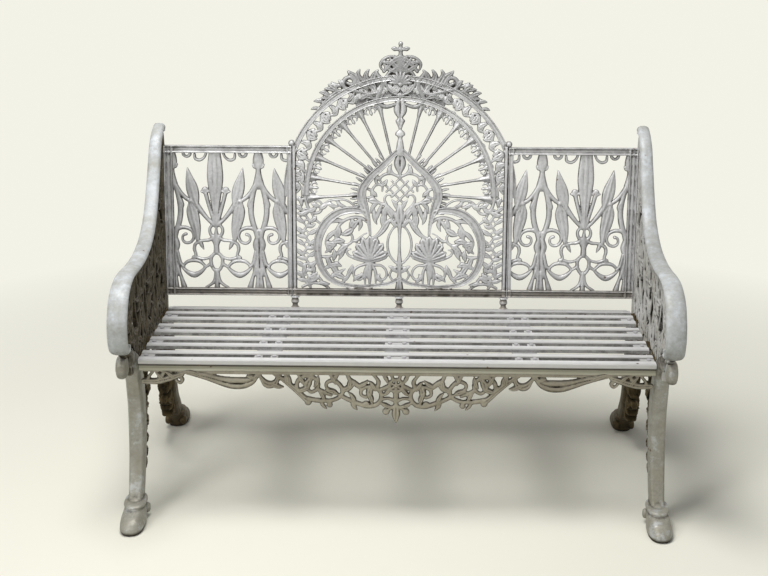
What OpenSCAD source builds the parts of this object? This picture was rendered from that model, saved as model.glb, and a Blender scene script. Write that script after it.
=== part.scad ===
// Victorian cast iron garden settee with a crested lacework back.
// X runs along the seat, Y towards the back and Z up; the origin is on the floor,
// in the middle of the settee.

/* [Seat] */
// Height of the top of the seat at its front edge
seat_height = 410; // [380:5:450]
// Depth of the seat from the front nose to the back of the rear slat
seat_depth = 442; // [420:1:470]
// Backward fall of the seat in degrees
seat_fall = 1.3; // [0:0.1:3]
// Width of one slat bar
slat_w = 28; // [22:1:30]
// Open slot between the two bars of a slat casting
slat_slot = 20; // [14:1:24]
// Thickness of the slat bars
slat_t = 10; // [8:1:14]
// Depth of the rolled nose on the front slat
nose_h = 18; // [14:1:20]
// Width of the single rear slat
rear_slat_w = 22; // [18:1:28]

/* [Back] */
// Width of the back between the two end frames
back_w = 1260; // [1180:10:1340]
// Width of the middle casting of the back
centre_w = 576; // [540:2:600]
// Height of the side castings of the back
panel_h = 406; // [380:2:430]
// Rearward lean of the back in degrees
back_lean = 5.8; // [3:0.1:9]
// Gap between the rear rail and the underside of the back
back_lift = 38; // [30:1:50]
// Thickness of the openwork in the back
lace_t = 7; // [5:0.5:9]
// Thickness of the rails and stiles that frame the openwork
frame_t = 14; // [12:1:18]

/* [End frames] */
// Thickness of the web of an end frame
web_t = 12; // [10:1:16]
// Width of the arm band at the top of the back
arm_top_w = 31; // [26:1:36]
// Width of the arm band at the front of the arm
arm_front_w = 48; // [40:1:56]
// Width of a leg
leg_w = 36; // [32:1:42]
// Width of a hoof where it meets the floor
hoof_w = 60; // [54:1:66]

/* [Rails and bearers] */
// Height of the front rail
front_rail_h = 14; // [12:1:20]
// Thickness of the front rail
front_rail_t = 14; // [12:1:18]
// Width of the flat rear rail
rear_rail_w = 46; // [42:1:50]
// Thickness of the rear rail
rear_rail_t = 12; // [10:1:16]
// Width of a seat bearer
bearer_w = 60; // [56:1:66]
// Thickness of a seat bearer
bearer_t = 8; // [6:1:10]
// Distance of the side bearers from the middle
bearer_x = 313; // [300:1:330]
// Thickness of the apron openwork
apron_t = 7; // [5:0.5:10]

/* [Fasteners] */
// Shank of the small seat bolts
seat_bolt_d = 6; // [5:0.5:7]
// Shank of the frame bolts
frame_bolt_d = 8; // [7:0.5:9]
// Clearance round a shank in its hole, on the diameter
bolt_clearance = 0.6; // [0.3:0.1:1]

/* [Hidden] */

// Straight pieces that each stroke of ornament gets between two of its points
curve_steps = 2;
band_steps = 3;
// Rails and stiles that frame the openwork of the back
rail_w = 20;
outer_stile_w = 24;
inner_stile_w = 13;
centre_stile_w = 12;
bead_r = 2.5;
rib_rise = 3;
tab_w = 22;
tab_t = 6;
// Margin of the root that lets a tab into its stile
tab_root = 2;
// Slack at the ends of the slats and the rails
seat_slack = 1;
// How far the arm reaches before the seat, and the rear hoof behind it
arm_reach = 125;
heel_reach = 223;
// Sizes of the drawings of the end frame: seat depth, seat height and height of the back
frame_art = [442, 410, 406];
frame_art_nose = 25;
// Gap before the rear slat
rear_gap = 20;
// Bridges between the two bars of a slat casting
middle_bridge = 60;
end_bridge = 34;
bridge_t = 7;
slat_crown_r = 60;
nose_w = 11;
// Ledge inside an end frame that carries the slats
ledge_w = 28;
rail_v = 12;
rear_rail_gap = 13;
bearer_lap = 16;
foot_r = 11;
boss_r = 14;
boss_rise = 2;
// Fasteners
head_ratio = 1.7;
nut_ratio = 0.8;
pan_h = 3;
pan_d = 11;
countersink_d = 12;
countersink_h = 3;
thread_depth = 20;

leg_x = back_w / 2 + web_t / 2;
leg_inner = leg_x - leg_w / 2;
seat_half = leg_inner - seat_slack;
centre_half = centre_w / 2;
side_w = back_w / 2 - centre_half;
depth = arm_reach + seat_depth + heel_reach;
seat_front_y = arm_reach - depth / 2;
pair_w = 2 * slat_w + slat_slot;
rear_slat_v = seat_depth - rear_slat_w;
pair_pitch = (rear_slat_v - rear_gap - pair_w) / 3;
under_slats = -slat_t;
under_bearers = -slat_t - bearer_t;
rear_rail_v = seat_depth + rear_rail_gap;
foot_v = rear_rail_v + 0.65 * rear_rail_w;
outer_foot_x = centre_half - centre_stile_w / 2;
frame_mid = (frame_t - lace_t) / 2;
quarter = bearer_w / 2 - 11;
bolt_x = [0.3 * bearer_w, bearer_x - quarter, bearer_x + quarter, leg_inner - 14];
panel_bolt_s = [60, 200, 340];
tab_s = [70, 205, 350];

// A point of the seat's own frame, v back from the nose and h above the slats, as [y, z]
function seat_point(v, h) = [
    seat_front_y + v * cos(seat_fall) + h * sin(seat_fall),
    seat_height - v * sin(seat_fall) + h * cos(seat_fall)
];
back_origin = seat_point(foot_v, under_bearers) + back_lift * [sin(back_lean), cos(back_lean)];

module on_seat() translate([0, seat_front_y, seat_height]) rotate([-seat_fall, 0, 0]) children();
module on_back() translate([0, back_origin.x, back_origin.y]) rotate([90 - back_lean, 0, 0]) children();
// Turns a side view, drawn as [y, z], so that it stands and grows along X
module side_view() rotate([90, 0, 90]) children();
module both_sides() {
    children();
    mirror([1, 0, 0]) children();
}

// Smooth curve through points given as [x, y, width]
function spline_point(a, b, c, d, t) =
    0.5 * (2 * b + (c - a) * t + (2 * a - 5 * b + 4 * c - d) * t * t + (3 * b - a - 3 * c + d) * t * t * t);
function smooth(p, n) = concat(
    [for (i = [0 : len(p) - 2], k = [0 : n - 1])
        spline_point(p[max(i - 1, 0)], p[i], p[i + 1], p[min(i + 2, len(p) - 1)], k / n)],
    [p[len(p) - 1]]
);
function heading(q, i) =
    let (a = q[max(i - 1, 0)], b = q[min(i + 1, len(q) - 1)], l = norm([b.x - a.x, b.y - a.y]))
    [(b.x - a.x) / l, (b.y - a.y) / l];
function edge_point(q, i, side) =
    let (h = heading(q, i)) [q[i].x - side * h.y * q[i].z / 2, q[i].y + side * h.x * q[i].z / 2];

// One stroke of cast ornament: a band, stem, scroll or leaf, with pointed ends
function tip_point(q, i, way) =
    let (h = heading(q, i)) [q[i].x + way * h.x * q[i].z / 2, q[i].y + way * h.y * q[i].z / 2];
module stroke(p, n = curve_steps) {
    q = smooth(p, n);
    last = len(q) - 1;
    for (i = [0 : last - 1])
        polygon([edge_point(q, i, 1), edge_point(q, i + 1, 1), edge_point(q, i + 1, -1), edge_point(q, i, -1)]);
    for (e = [[0, -1], [last, 1]])
        if (q[e.x].z > 3) polygon([edge_point(q, e.x, 1), tip_point(q, e.x, e.y), edge_point(q, e.x, -1)]);
}
module strokes(list, n = curve_steps) for (p = list) stroke(p, n);
// Leaves given as [x, y, angle, length, width]
function leaf(f) = [for (k = [[0, 0, 0.45], [0.35, 0.06, 1], [0.72, 0.05, 0.82], [1, -0.03, 0.3]])
    [f.x + f[3] * (k.x * cos(f.z) - k.y * sin(f.z)), f.y + f[3] * (k.x * sin(f.z) + k.y * cos(f.z)), k.z * f[4]]];
module leaves(list) for (f = list) stroke(leaf(f), 1);
function thicker(list, k) = [for (p = list) [for (q = p) [q.x, q.y, q.z * k]]];
module rosette(r) for (k = [1 : rosette_petals]) stroke(leaf([r.x, r.y, k * 360 / rosette_petals, r.z, 0.62 * r.z]), 1);
module bead(x, y, d) translate([x, y]) circle(d = d, $fn = 12);
module mirrored() {
    children();
    mirror([1, 0]) children();
}
module ring_2d(r, w, facets = 56) difference() {
    circle(r = r + w / 2, $fn = facets);
    circle(r = r - w / 2, $fn = facets);
}
// One level of relief: a drawing cast from one depth to another
module level(z0, z1) translate([0, 0, z0]) linear_extrude(z1 - z0) offset(delta = 0) children();

// Lily of the side castings, about its own middle line
lily_leaf = [[0, 390, 26], [0, 352, 34], [0, 318, 37], [0, 285, 30], [0, 250, 20], [0, 215, 11], [0, 192, 9]];
lily_stem = [[0, 200, 7], [0, 186, 5], [0, 168, 10], [0, 152, 22], [0, 136, 13], [0, 118, 14]];
lily_foot = [[0, 68, 8], [0, 40, 8], [0, 18, 14]];
lily_side = [
    [[5, 196, 7], [13, 225, 8], [21, 255, 9], [26, 276, 10]],
    [[16, 284, 5], [27, 279, 7], [38, 282, 5]],
    [[4, 190, 9], [18, 203, 9], [34, 222, 11], [50, 245, 13], [57, 258, 13]],
    [[50, 243, 8], [57, 266, 24], [63, 292, 27], [69, 318, 17], [74, 346, 2]],
    [[52, 256, 7], [66, 254, 9], [78, 262, 4]],
    [[68, 250, 10], [64, 232, 26], [59, 205, 27], [53, 178, 20], [50, 152, 10]],
    [[5, 196, 7], [17, 182, 7], [15, 166, 8], [4, 155, 9]],
    [[6, 158, 9], [20, 150, 8], [38, 148, 7], [56, 140, 8], [60, 125, 8], [56, 110, 7], [60, 102, 10]],
    [[8, 112, 7], [20, 102, 6], [36, 98, 7], [52, 102, 7]],
    [[44, 146, 8], [40, 136, 9], [34, 124, 2]],
    [[2, 116, 6], [13, 104, 7], [16, 90, 8], [12, 76, 8], [3, 64, 8]],
    [[3, 60, 8], [6, 42, 8], [14, 30, 7], [30, 20, 6]],
    [[30, 76, 6], [44, 90, 8], [62, 94, 9], [80, 90, 8], [94, 76, 6]],
    [[30, 76, 6], [44, 62, 10], [62, 54, 14], [80, 62, 10], [94, 76, 6]],
    [[14, 88, 7], [24, 80, 7], [32, 76, 6]],
    [[22, 388, 6], [28, 374, 6], [40, 366, 7], [52, 370, 7], [54, 382, 6]],
    [[64, 390, 5], [66, 380, 6], [74, 375, 6], [82, 380, 6], [84, 390, 5]]
];
module lily() {
    stroke(lily_leaf);
    stroke(lily_stem);
    stroke(lily_foot);
    mirrored() {
        strokes(lily_side);
        bead(28, 286, 18);
        bead(62, 102, 12);
    }
}

// Hanging bud between two lilies, about its own middle line
bud_stem = [[0, 390, 16], [0, 372, 24], [0, 356, 24], [0, 342, 12], [0, 320, 18], [0, 303, 26]];
bud_foot = [[0, 176, 10], [0, 158, 20], [0, 140, 30], [0, 126, 26], [0, 116, 18], [0, 100, 20], [0, 84, 28], [0, 66, 32]];
bud_side = [
    [[4, 346, 5], [11, 348, 6], [15, 355, 4]],
    [[6, 306, 12], [14, 280, 12], [20, 250, 13], [21, 225, 13], [17, 200, 13], [9, 176, 12], [5, 160, 12]],
    [[10, 300, 9], [22, 280, 9], [36, 264, 10], [48, 258, 10], [56, 262, 7]],
    [[20, 262, 10], [27, 246, 8], [26, 236, 3]],
    [[6, 166, 9], [14, 180, 9], [32, 184, 9], [50, 176, 8], [56, 160, 8], [48, 145, 7], [34, 142, 7],
     [25, 150, 6], [26, 162, 6], [34, 166, 8]],
    [[10, 118, 8], [14, 100, 8], [18, 86, 8], [26, 78, 8]],
    [[4, 70, 9], [5, 45, 8], [6, 20, 12]],
    [[10, 74, 9], [18, 50, 8], [26, 20, 14]],
    [[30, 390, 5], [32, 380, 6], [40, 375, 6], [48, 380, 6], [50, 390, 5]]
];
module bud() {
    stroke(bud_stem);
    stroke(bud_foot);
    mirrored() strokes(bud_side);
}

// Side casting, drawn 342 wide and 406 high from its corner at the middle casting
side_art = [342, 406];
lily_at = [-26, 206];
bud_at = [90, 322];
module side_art_2d() intersection() {
    translate([inner_stile_w / 2, rail_w / 2]) square([side_w - inner_stile_w - outer_stile_w / 2, panel_h - rail_w]);
    scale([side_w / side_art.x, panel_h / side_art.y]) children();
}
module lilies_2d() side_art_2d() for (x = lily_at) translate([x, 0]) lily();
module buds_2d() side_art_2d() for (x = bud_at) translate([x, 0]) bud();
module side_frame_2d() difference() {
    square([side_w, panel_h]);
    translate([inner_stile_w, rail_w]) square([side_w - inner_stile_w - outer_stile_w, panel_h - 2 * rail_w]);
}

// Middle casting: the arch is drawn about this centre
arch_centre = 283;
rib_outer = 303;
rib_inner = 249;
spoke_first = 76.5;
spoke_step = 13.4;
spoke_count = 7;
vine_step = 12;

ogee = [[0, 398, 14], [20, 380, 15], [46, 354, 18], [76, 326, 20], [98, 296, 23], [102, 268, 25], [94, 242, 22],
        [86, 216, 14], [81, 190, 9], [79, 168, 7]];
lobe = [[90, 226, 10], [110, 234, 16], [140, 234, 20], [170, 224, 22], [195, 203, 24], [212, 175, 24],
        [220, 145, 22], [220, 115, 20], [213, 85, 18], [196, 56, 16], [170, 37, 13], [135, 28, 11],
        [95, 26, 10], [60, 30, 9], [25, 36, 9], [0, 50, 9]];
ogee_inside = [
    [[8, 205, 9], [16, 228, 8], [34, 246, 8], [58, 256, 8], [74, 272, 8], [72, 292, 7], [60, 304, 7], [47, 299, 6],
     [47, 287, 6]],
    [[34, 248, 7], [41, 264, 7], [34, 276, 6], [22, 276, 5]],
    [[3, 324, 7], [22, 333, 8], [42, 330, 8], [54, 318, 7], [48, 308, 5]],
    [[16, 330, 6], [25, 345, 7], [22, 358, 4]],
    [[60, 302, 6], [64, 316, 10], [58, 332, 2]],
    [[60, 254, 8], [72, 243, 12], [78, 226, 3]],
    [[30, 244, 8], [40, 226, 14], [36, 202, 4]],
    [[47, 252, 5], [56, 230, 12], [62, 206, 3]],
    [[72, 286, 6], [86, 292, 8], [94, 290, 6]],
    [[72, 272, 6], [84, 268, 7], [94, 268, 6]]
];
lobe_inside = [
    [[84, 200, 8], [100, 212, 9], [122, 215, 9], [146, 207, 9], [164, 190, 9], [172, 168, 9], [164, 148, 9],
     [146, 139, 8], [130, 147, 8], [127, 163, 7], [138, 173, 7], [150, 167, 6]],
    [[150, 204, 8], [170, 206, 13], [190, 198, 4]],
    [[172, 178, 8], [188, 164, 14], [200, 148, 4]],
    [[168, 152, 8], [184, 132, 14], [200, 118, 4]],
    [[150, 140, 8], [154, 118, 14], [164, 98, 3]],
    [[110, 214, 6], [104, 196, 12], [110, 178, 3]],
    [[128, 150, 6], [114, 152, 9], [100, 166, 4], [88, 172, 4]],
    [[204, 74, 6], [184, 84, 13], [164, 94, 3]],
    [[186, 50, 6], [166, 62, 13], [146, 74, 3]],
    [[156, 34, 6], [142, 50, 11], [130, 64, 3]],
    [[212, 108, 6], [194, 106, 10], [178, 112, 3]],
    [[80, 92, 8], [66, 85, 8], [50, 84, 7], [38, 74, 7], [34, 58, 7], [42, 46, 7], [54, 49, 6], [53, 60, 5]],
    [[80, 92, 8], [96, 86, 8], [112, 80, 8], [123, 68, 8], [121, 52, 7], [108, 44, 7], [98, 52, 6], [102, 62, 5]],
    [[80, 94, 6], [80, 76, 15], [80, 52, 11], [80, 28, 5]],
    [[72, 84, 5], [64, 64, 9], [64, 30, 4]],
    [[88, 84, 5], [93, 64, 9], [92, 28, 4]],
    [[38, 106, 9], [58, 98, 9], [80, 95, 9], [102, 98, 9], [124, 105, 9]],
    [[124, 105, 8], [138, 112, 7], [142, 124, 6], [132, 128, 5]]
];
ogee_leaves = [
    [60, 256, 10, 24, 18], [34, 246, -70, 30, 15], [62, 272, 40, 22, 12], [48, 300, 130, 22, 12], [32, 332, 100, 22, 12],
    [52, 318, 20, 20, 12], [20, 212, 60, 32, 14], [46, 222, -100, 40, 14], [68, 236, -98, 40, 12], [6, 236, 62, 30, 12],
    [10, 190, 50, 28, 12], [8, 66, 40, 26, 12]
];
lobe_leaves = [
    [152, 168, 150, 32, 19], [166, 162, 95, 28, 16], [150, 150, -5, 32, 17], [140, 138, -42, 36, 17], [172, 138, 15, 28, 14],
    [134, 188, 110, 26, 14], [112, 206, -60, 30, 14], [186, 120, 60, 26, 14], [178, 98, 95, 28, 14], [148, 48, 20, 36, 17],
    [168, 60, 55, 32, 17], [188, 82, 70, 28, 15], [140, 58, 118, 30, 14], [158, 82, 10, 28, 14], [100, 58, -35, 30, 12],
    [60, 58, -125, 26, 12], [80, 92, -90, 50, 20]
];
middle_column = [
    [[6, 196, 7], [20, 182, 6], [30, 160, 7], [32, 135, 7], [26, 112, 7], [14, 96, 7], [4, 88, 7]],
    [[28, 206, 9], [38, 192, 17], [48, 177, 15], [62, 164, 10], [78, 158, 5]],
    [[5, 82, 6], [18, 74, 6], [26, 58, 6], [18, 44, 6], [7, 48, 5]],
    [[28, 116, 6], [36, 108, 6], [40, 104, 6]]
];
column_stem = [[0, 246, 8], [0, 232, 22], [0, 214, 26], [0, 196, 14], [0, 170, 9], [0, 140, 8], [0, 112, 10],
               [0, 90, 14], [0, 62, 11], [0, 42, 16], [0, 18, 24]];
spandrel = [
    [[253, 285, 9], [252, 262, 9], [245, 240, 9], [231, 226, 8], [215, 228, 8], [207, 242, 7], [213, 256, 6],
     [225, 257, 6], [230, 248, 5]],
    [[206, 246, 6], [192, 258, 6], [174, 261, 6], [160, 252, 6], [168, 243, 5]],
    [[174, 262, 6], [152, 263, 6], [134, 256, 6], [120, 244, 6]],
    [[188, 258, 4], [182, 246, 8], [176, 236, 4]],
    [[248, 270, 6], [262, 262, 8], [277, 262, 5]],
    [[236, 224, 6], [226, 208, 7], [214, 198, 6]],
    [[250, 300, 5], [262, 310, 9], [277, 322, 4]],
    [[246, 330, 5], [260, 344, 9], [277, 352, 4]],
    [[238, 362, 5], [254, 374, 9], [276, 382, 5]],
    [[262, 24, 8], [238, 34, 8], [210, 32, 8], [190, 20, 7]],
    [[234, 60, 7], [216, 48, 8], [206, 34, 6]],
    [[238, 30, 5], [246, 44, 9], [242, 58, 3]]
];
spandrel_leaves = [
    [236, 252, 200, 24, 12], [214, 238, 150, 24, 12], [192, 252, 200, 26, 12], [168, 254, 205, 26, 10], [244, 230, -30, 28, 12],
    [262, 246, 70, 26, 12], [262, 272, 100, 28, 12], [242, 40, 150, 30, 13], [262, 60, 105, 30, 12], [228, 66, 60, 28, 12],
    [214, 38, 195, 26, 12], [262, 306, 95, 30, 12], [258, 340, 80, 30, 12]
];
// Vine that climbs beside the lobe, as [height, side, leaf]
climb_step = 30;
climb_x = 251;
climb_swing = 11;
crest = [
    [[63, 603, 5], [59, 592, 11], [49, 577, 14], [48, 560, 14], [57, 543, 16], [61, 527, 15], [50, 514, 13], [34, 510, 11],
     [12, 517, 9]],
    [[0, 617, 11], [18, 608, 9], [34, 594, 9], [39, 576, 9], [33, 558, 9], [20, 546, 8], [8, 542, 8]],
    [[0, 637, 20], [16, 631, 15], [31, 618, 13], [44, 602, 9]],
    [[12, 640, 6], [28, 641, 8], [44, 634, 9], [53, 621, 9], [50, 608, 6]],
    [[34, 560, 6], [44, 548, 7], [50, 534, 7]],
    [[10, 531, 6], [26, 532, 6], [42, 528, 6]],
    [[18, 545, 5], [27, 538, 6], [26, 528, 4]],
    [[58, 548, 8], [78, 543, 10], [100, 547, 11], [122, 552, 12], [143, 557, 13], [151, 570, 13], [144, 583, 12],
     [131, 586, 11], [122, 577, 10], [128, 567, 11], [138, 571, 10]],
    [[66, 556, 10], [73, 574, 20], [70, 592, 15], [60, 605, 6]],
    [[74, 556, 10], [86, 574, 20], [91, 592, 15], [84, 606, 6]],
    [[88, 556, 10], [103, 574, 20], [112, 592, 15], [108, 606, 6]],
    [[108, 566, 8], [120, 588, 15], [134, 598, 11], [139, 604, 4]],
    [[150, 562, 8], [168, 566, 10], [182, 574, 4]],
    [[160, 550, 8], [182, 556, 14], [200, 556, 4]],
    [[176, 532, 8], [196, 534, 12], [212, 530, 4]],
    [[90, 546, 6], [86, 532, 10], [92, 520, 5]],
    [[118, 552, 6], [112, 536, 10], [116, 520, 5]],
    [[62, 540, 6], [70, 528, 8], [72, 518, 5]]
];
crest_leaves = [
    [96, 560, 35, 26, 13], [114, 560, 60, 26, 13], [24, 622, 10, 24, 11], [148, 560, 52, 24, 14], [166, 552, 34, 28, 15], [186, 538, 20, 28, 14], [204, 522, 5, 24, 12], [216, 506, -10, 20, 10],
    [70, 532, 10, 30, 14], [108, 530, 150, 32, 14], [140, 524, 130, 30, 13]
];
crest_foot = [[142, 554, 8], [166, 546, 15], [188, 530, 16], [207, 511, 12], [222, 492, 5]];
finial = [[0, 604, 50], [0, 621, 36], [0, 635, 24], [0, 645, 12], [0, 664, 11], [0, 672, 9]];
finial_arm = [[0, 659, 10], [9, 660, 9], [16, 661, 13], [21, 662, 8]];
pendant = [[0, 524, 26], [0, 506, 36], [0, 492, 30], [0, 481, 14], [0, 474, 26], [0, 462, 16], [0, 446, 4]];
// Solid bed of the crest between the ribs of the arch, as angles
bed_from = 63;
bed_t = 4;
ogee_tip = [[0, 436, 28], [0, 429, 12], [0, 416, 17], [0, 400, 22], [0, 388, 24]];
ogee_bud = [[0, 392, 8], [0, 378, 24], [0, 362, 33], [0, 348, 26], [0, 334, 10], [0, 322, 7]];
knot_r = 31;
knot_step = 20;

// Everything inside the ogee and the lobes, where the spokes stop
module cartouche_2d() {
    q = smooth(ogee, band_steps);
    polygon(concat([[0, 398]], [for (p = q) [p.x, p.y]], [[0, 168]]));
    translate([130, 132]) scale([0.84, 1]) circle(r = 104, $fn = 48);
}
module on_arch(angle) translate([0, arch_centre]) rotate(angle - 90) children();
module spokes_2d() difference() {
    for (k = [0 : spoke_count - 1]) on_arch(spoke_first - k * spoke_step)
        stroke([[0, 60, 7], [0, 140, 7], [0, 205, 8], [0, 222, 12], [0, 236, 22], [0, 247, 34]], 1);
    cartouche_2d();
}
module arcade_2d() for (k = [0 : spoke_count - 2]) on_arch(spoke_first - (k + 0.5) * spoke_step) {
    stroke([[0, 248, 22], [0, 239, 12], [0, 231, 7], [0, 222, 9], [0, 218, 4]], 1);
    mirrored() stroke([[0, 238, 6], [10, 236, 7], [14, 228, 6], [9, 222, 4]], 1);
}
// Leaflets that stand out from the ogee, in the fan of spokes
module leaflets_2d() {
    q = smooth(ogee, band_steps);
    for (i = [5 : 19]) {
        h = heading(q, i);
        e = edge_point(q, i, 0.8);
        stroke([[e.x, e.y, 6], [e.x - 9 * h.y, e.y + 9 * h.x, 8], [e.x - 20 * h.y, e.y + 20 * h.x, 4]], 1);
    }
}
module arch_vine_2d() for (a = [6 : vine_step : 90]) on_arch(a) {
    stroke([[-30, 281, 7], [-15, 292, 8], [0, 281, 8], [15, 266, 8], [30, 274, 7]], 1);
    leaves([[-16, 290, -80, 28, 14], [11, 268, 78, 30, 14], [-3, 284, -112, 24, 12], [21, 270, 118, 22, 11],
            [-29, 284, -62, 22, 10]]);
}
module climber_2d() for (k = [0 : 6]) {
    side = k % 2 == 0 ? 1 : -1;
    y = 232 - k * climb_step;
    stroke([[climb_x + side * climb_swing, y, 7], [climb_x, y - climb_step / 2, 7],
            [climb_x - side * climb_swing, y - climb_step, 7]], 1);
    translate([climb_x + side, y - 2]) ring_2d(7, 5, 14);
    leaves([[climb_x + side * climb_swing, y, 90 - side * 50, 22, 13], [climb_x - side * 7, y - 3, 90 + side * 58, 26, 13],
            [climb_x + side * 4, y - 14, 90 - side * 70, 22, 11]]);
}
module fan_2d() translate([80, 100]) for (a = [18 : 24 : 162])
    stroke([[0, 0, 9], [22 * cos(a), 28 * sin(a), 17], [40 * cos(a), 54 * sin(a), 22], [45 * cos(a), 62 * sin(a), 9]]);
module knot_2d() translate([0, 292]) rotate(45) for (i = [-1 : 1]) {
    translate([knot_step * i - 3, -knot_r]) square([6, 2 * knot_r]);
    translate([-knot_r, knot_step * i - 3]) square([2 * knot_r, 6]);
}
module arch_ribs_2d() translate([0, arch_centre]) intersection() {
    union() {
        ring_2d(rib_outer, 14);
        ring_2d(rib_inner, 13);
    }
    translate([-1, -14]) square([centre_art.x / 2 + 1, 400]);
}
module spandrel_2d() intersection() {
    translate([100, rail_w / 2]) square([centre_art.x / 2 - 102, 380]);
    union() {
        strokes(spandrel);
        leaves(spandrel_leaves);
        climber_2d();
    }
}
centre_art = [576, 406];
module centre_2d() scale([centre_w / centre_art.x, panel_h / centre_art.y]) children();
module ribs_2d() centre_2d() {
    mirrored() {
        strokes([ogee, lobe], band_steps);
        arch_ribs_2d();
    }
    stroke(pendant);
    stroke(ogee_tip);
}
module cartouche_lace_2d() centre_2d() {
    mirrored() {
        strokes(concat(ogee_inside, lobe_inside, middle_column));
        leaves(concat(ogee_leaves, lobe_leaves));
        fan_2d();
    }
    stroke(column_stem);
    stroke(ogee_bud);
    knot_2d();
}
module spokes_lace_2d() centre_2d() mirrored() {
    spokes_2d();
    arcade_2d();
    leaflets_2d();
}
module arch_lace_2d() centre_2d() mirrored() intersection() {
    translate([0, arch_centre]) ring_2d(276, 50);
    translate([-1, 0]) square([centre_art.x / 2 - 4, 720]);
    arch_vine_2d();
}
module spandrel_lace_2d() centre_2d() mirrored() spandrel_2d();
module crest_2d() centre_2d() {
    mirrored() {
        strokes(concat(crest, [crest_foot, finial_arm]));
        leaves(crest_leaves);
    }
    stroke(finial);
    bead(0, 584, 58);
    bead(0, 538, 20);
    bead(0, 674, 13);
}
module crest_bed_2d() centre_2d() mirrored() translate([0, arch_centre]) intersection() {
    ring_2d((rib_outer + rib_inner) / 2, rib_outer - rib_inner);
    polygon([[-1, 100], [rib_outer / tan(bed_from), rib_outer], [-1, rib_outer + 20]]);
}

// Apron under the front rail, drawn as [x, z] for one half
apron_art_x = 612;
apron_art_top = 378;
apron_strip_h = 8;
apron_vine = 1.45;
apron_lace = [
    [[608, 350, 10], [575, 350, 12], [545, 358, 12], [516, 368, 10]],
    [[600, 346, 8], [596, 360, 6], [586, 372, 5]],
    [[575, 350, 6], [566, 362, 10], [556, 374, 5]],
    [[524, 364, 8], [514, 355, 7], [520, 346, 6], [529, 352, 5]],
    [[505, 372, 6], [480, 368, 10], [450, 361, 14], [420, 352, 18], [395, 347, 22], [370, 347, 22],
     [350, 352, 16], [338, 362, 10], [330, 372, 6]],
    [[330, 370, 6], [322, 358, 8], [312, 346, 14], [300, 344, 14], [288, 352, 10], [284, 368, 6]],
    [[292, 372, 8], [272, 358, 9], [255, 344, 10], [240, 330, 10], [226, 316, 10], [212, 304, 12]],
    [[226, 318, 8], [238, 334, 8], [236, 354, 8], [220, 366, 8], [200, 364, 8], [188, 350, 8], [190, 334, 7],
     [204, 326, 7], [214, 334, 6]],
    [[205, 360, 8], [213, 346, 15], [212, 330, 4]],
    [[254, 344, 6], [258, 360, 9], [266, 372, 5]],
    [[214, 310, 8], [198, 306, 9], [180, 304, 9], [164, 304, 8], [160, 296, 8]],
    [[160, 304, 8], [146, 308, 8], [134, 316, 8], [128, 330, 8], [136, 346, 8], [150, 356, 8], [166, 350, 7],
     [167, 338, 6], [156, 332, 6]],
    [[150, 354, 6], [146, 364, 9], [138, 374, 5]],
    [[130, 330, 7], [114, 338, 12], [104, 350, 6], [110, 360, 5]],
    [[190, 336, 6], [174, 326, 8], [156, 318, 5]],
    [[134, 318, 8], [118, 309, 8], [104, 303, 9], [86, 296, 9], [70, 292, 10], [50, 294, 9], [38, 306, 8],
     [36, 324, 8], [48, 338, 8], [66, 342, 8], [82, 334, 7], [84, 320, 6], [72, 314, 6]],
    [[60, 340, 7], [64, 326, 13], [62, 308, 4]],
    [[46, 337, 7], [42, 352, 8], [48, 364, 6], [58, 374, 5]],
    [[82, 334, 6], [96, 347, 10], [112, 360, 8], [118, 374, 5]],
    [[16, 344, 8], [28, 338, 8], [40, 332, 7]],
    [[8, 360, 6], [10, 368, 6], [16, 376, 5]],
    [[3, 292, 8], [12, 287, 7], [22, 280, 7]],
    [[36, 308, 6], [20, 312, 6], [5, 306, 6]],
    [[180, 300, 6], [176, 292, 7], [168, 284, 3]],
    [[106, 304, 6], [102, 292, 9], [94, 282, 3]]
];
apron_leaves = [
    [560, 350, 52, 28, 12], [534, 358, 40, 26, 12], [470, 364, 20, 40, 14], [338, 358, 20, 22, 12], [300, 348, 200, 30, 14],
    [262, 346, 80, 28, 13], [236, 330, 160, 30, 14], [222, 346, 60, 26, 13], [196, 340, 110, 28, 13], [172, 306, 60, 28, 12],
    [140, 322, 20, 30, 14], [146, 348, 60, 26, 12], [116, 334, 100, 32, 13], [98, 300, 60, 30, 12], [58, 300, 70, 30, 14],
    [50, 332, 60, 26, 12], [92, 342, 150, 28, 12], [30, 320, 130, 26, 12], [20, 352, 60, 26, 11], [36, 300, 200, 26, 12]
];
apron_pendant = [
    [[0, 330, 16], [0, 312, 14], [0, 292, 11]],
    [[0, 291, 10], [0, 277, 21], [0, 263, 17], [0, 250, 4]]
];
module apron_2d() scale([(leg_inner - 6) / apron_art_x, 1]) difference() {
    union() {
        mirrored() {
            strokes(thicker(apron_lace, apron_vine));
            leaves(apron_leaves);
            bead(212, 300, 17);
            bead(160, 294, 15);
            bead(72, 295, 20);
            bead(24, 278, 18);
            translate([0, 370]) square([510, apron_strip_h]);
            translate([508, 374]) square([100, 4]);
        }
        strokes(apron_pendant);
        bead(0, 344, 42);
    }
    for (a = [45 : 90 : 315]) translate([0, 344]) rotate(a) translate([12, 0]) circle(d = 9, $fn = 10);
    translate([-apron_art_x, apron_art_top]) square([2 * apron_art_x, apron_strip_h]);
}

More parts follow.
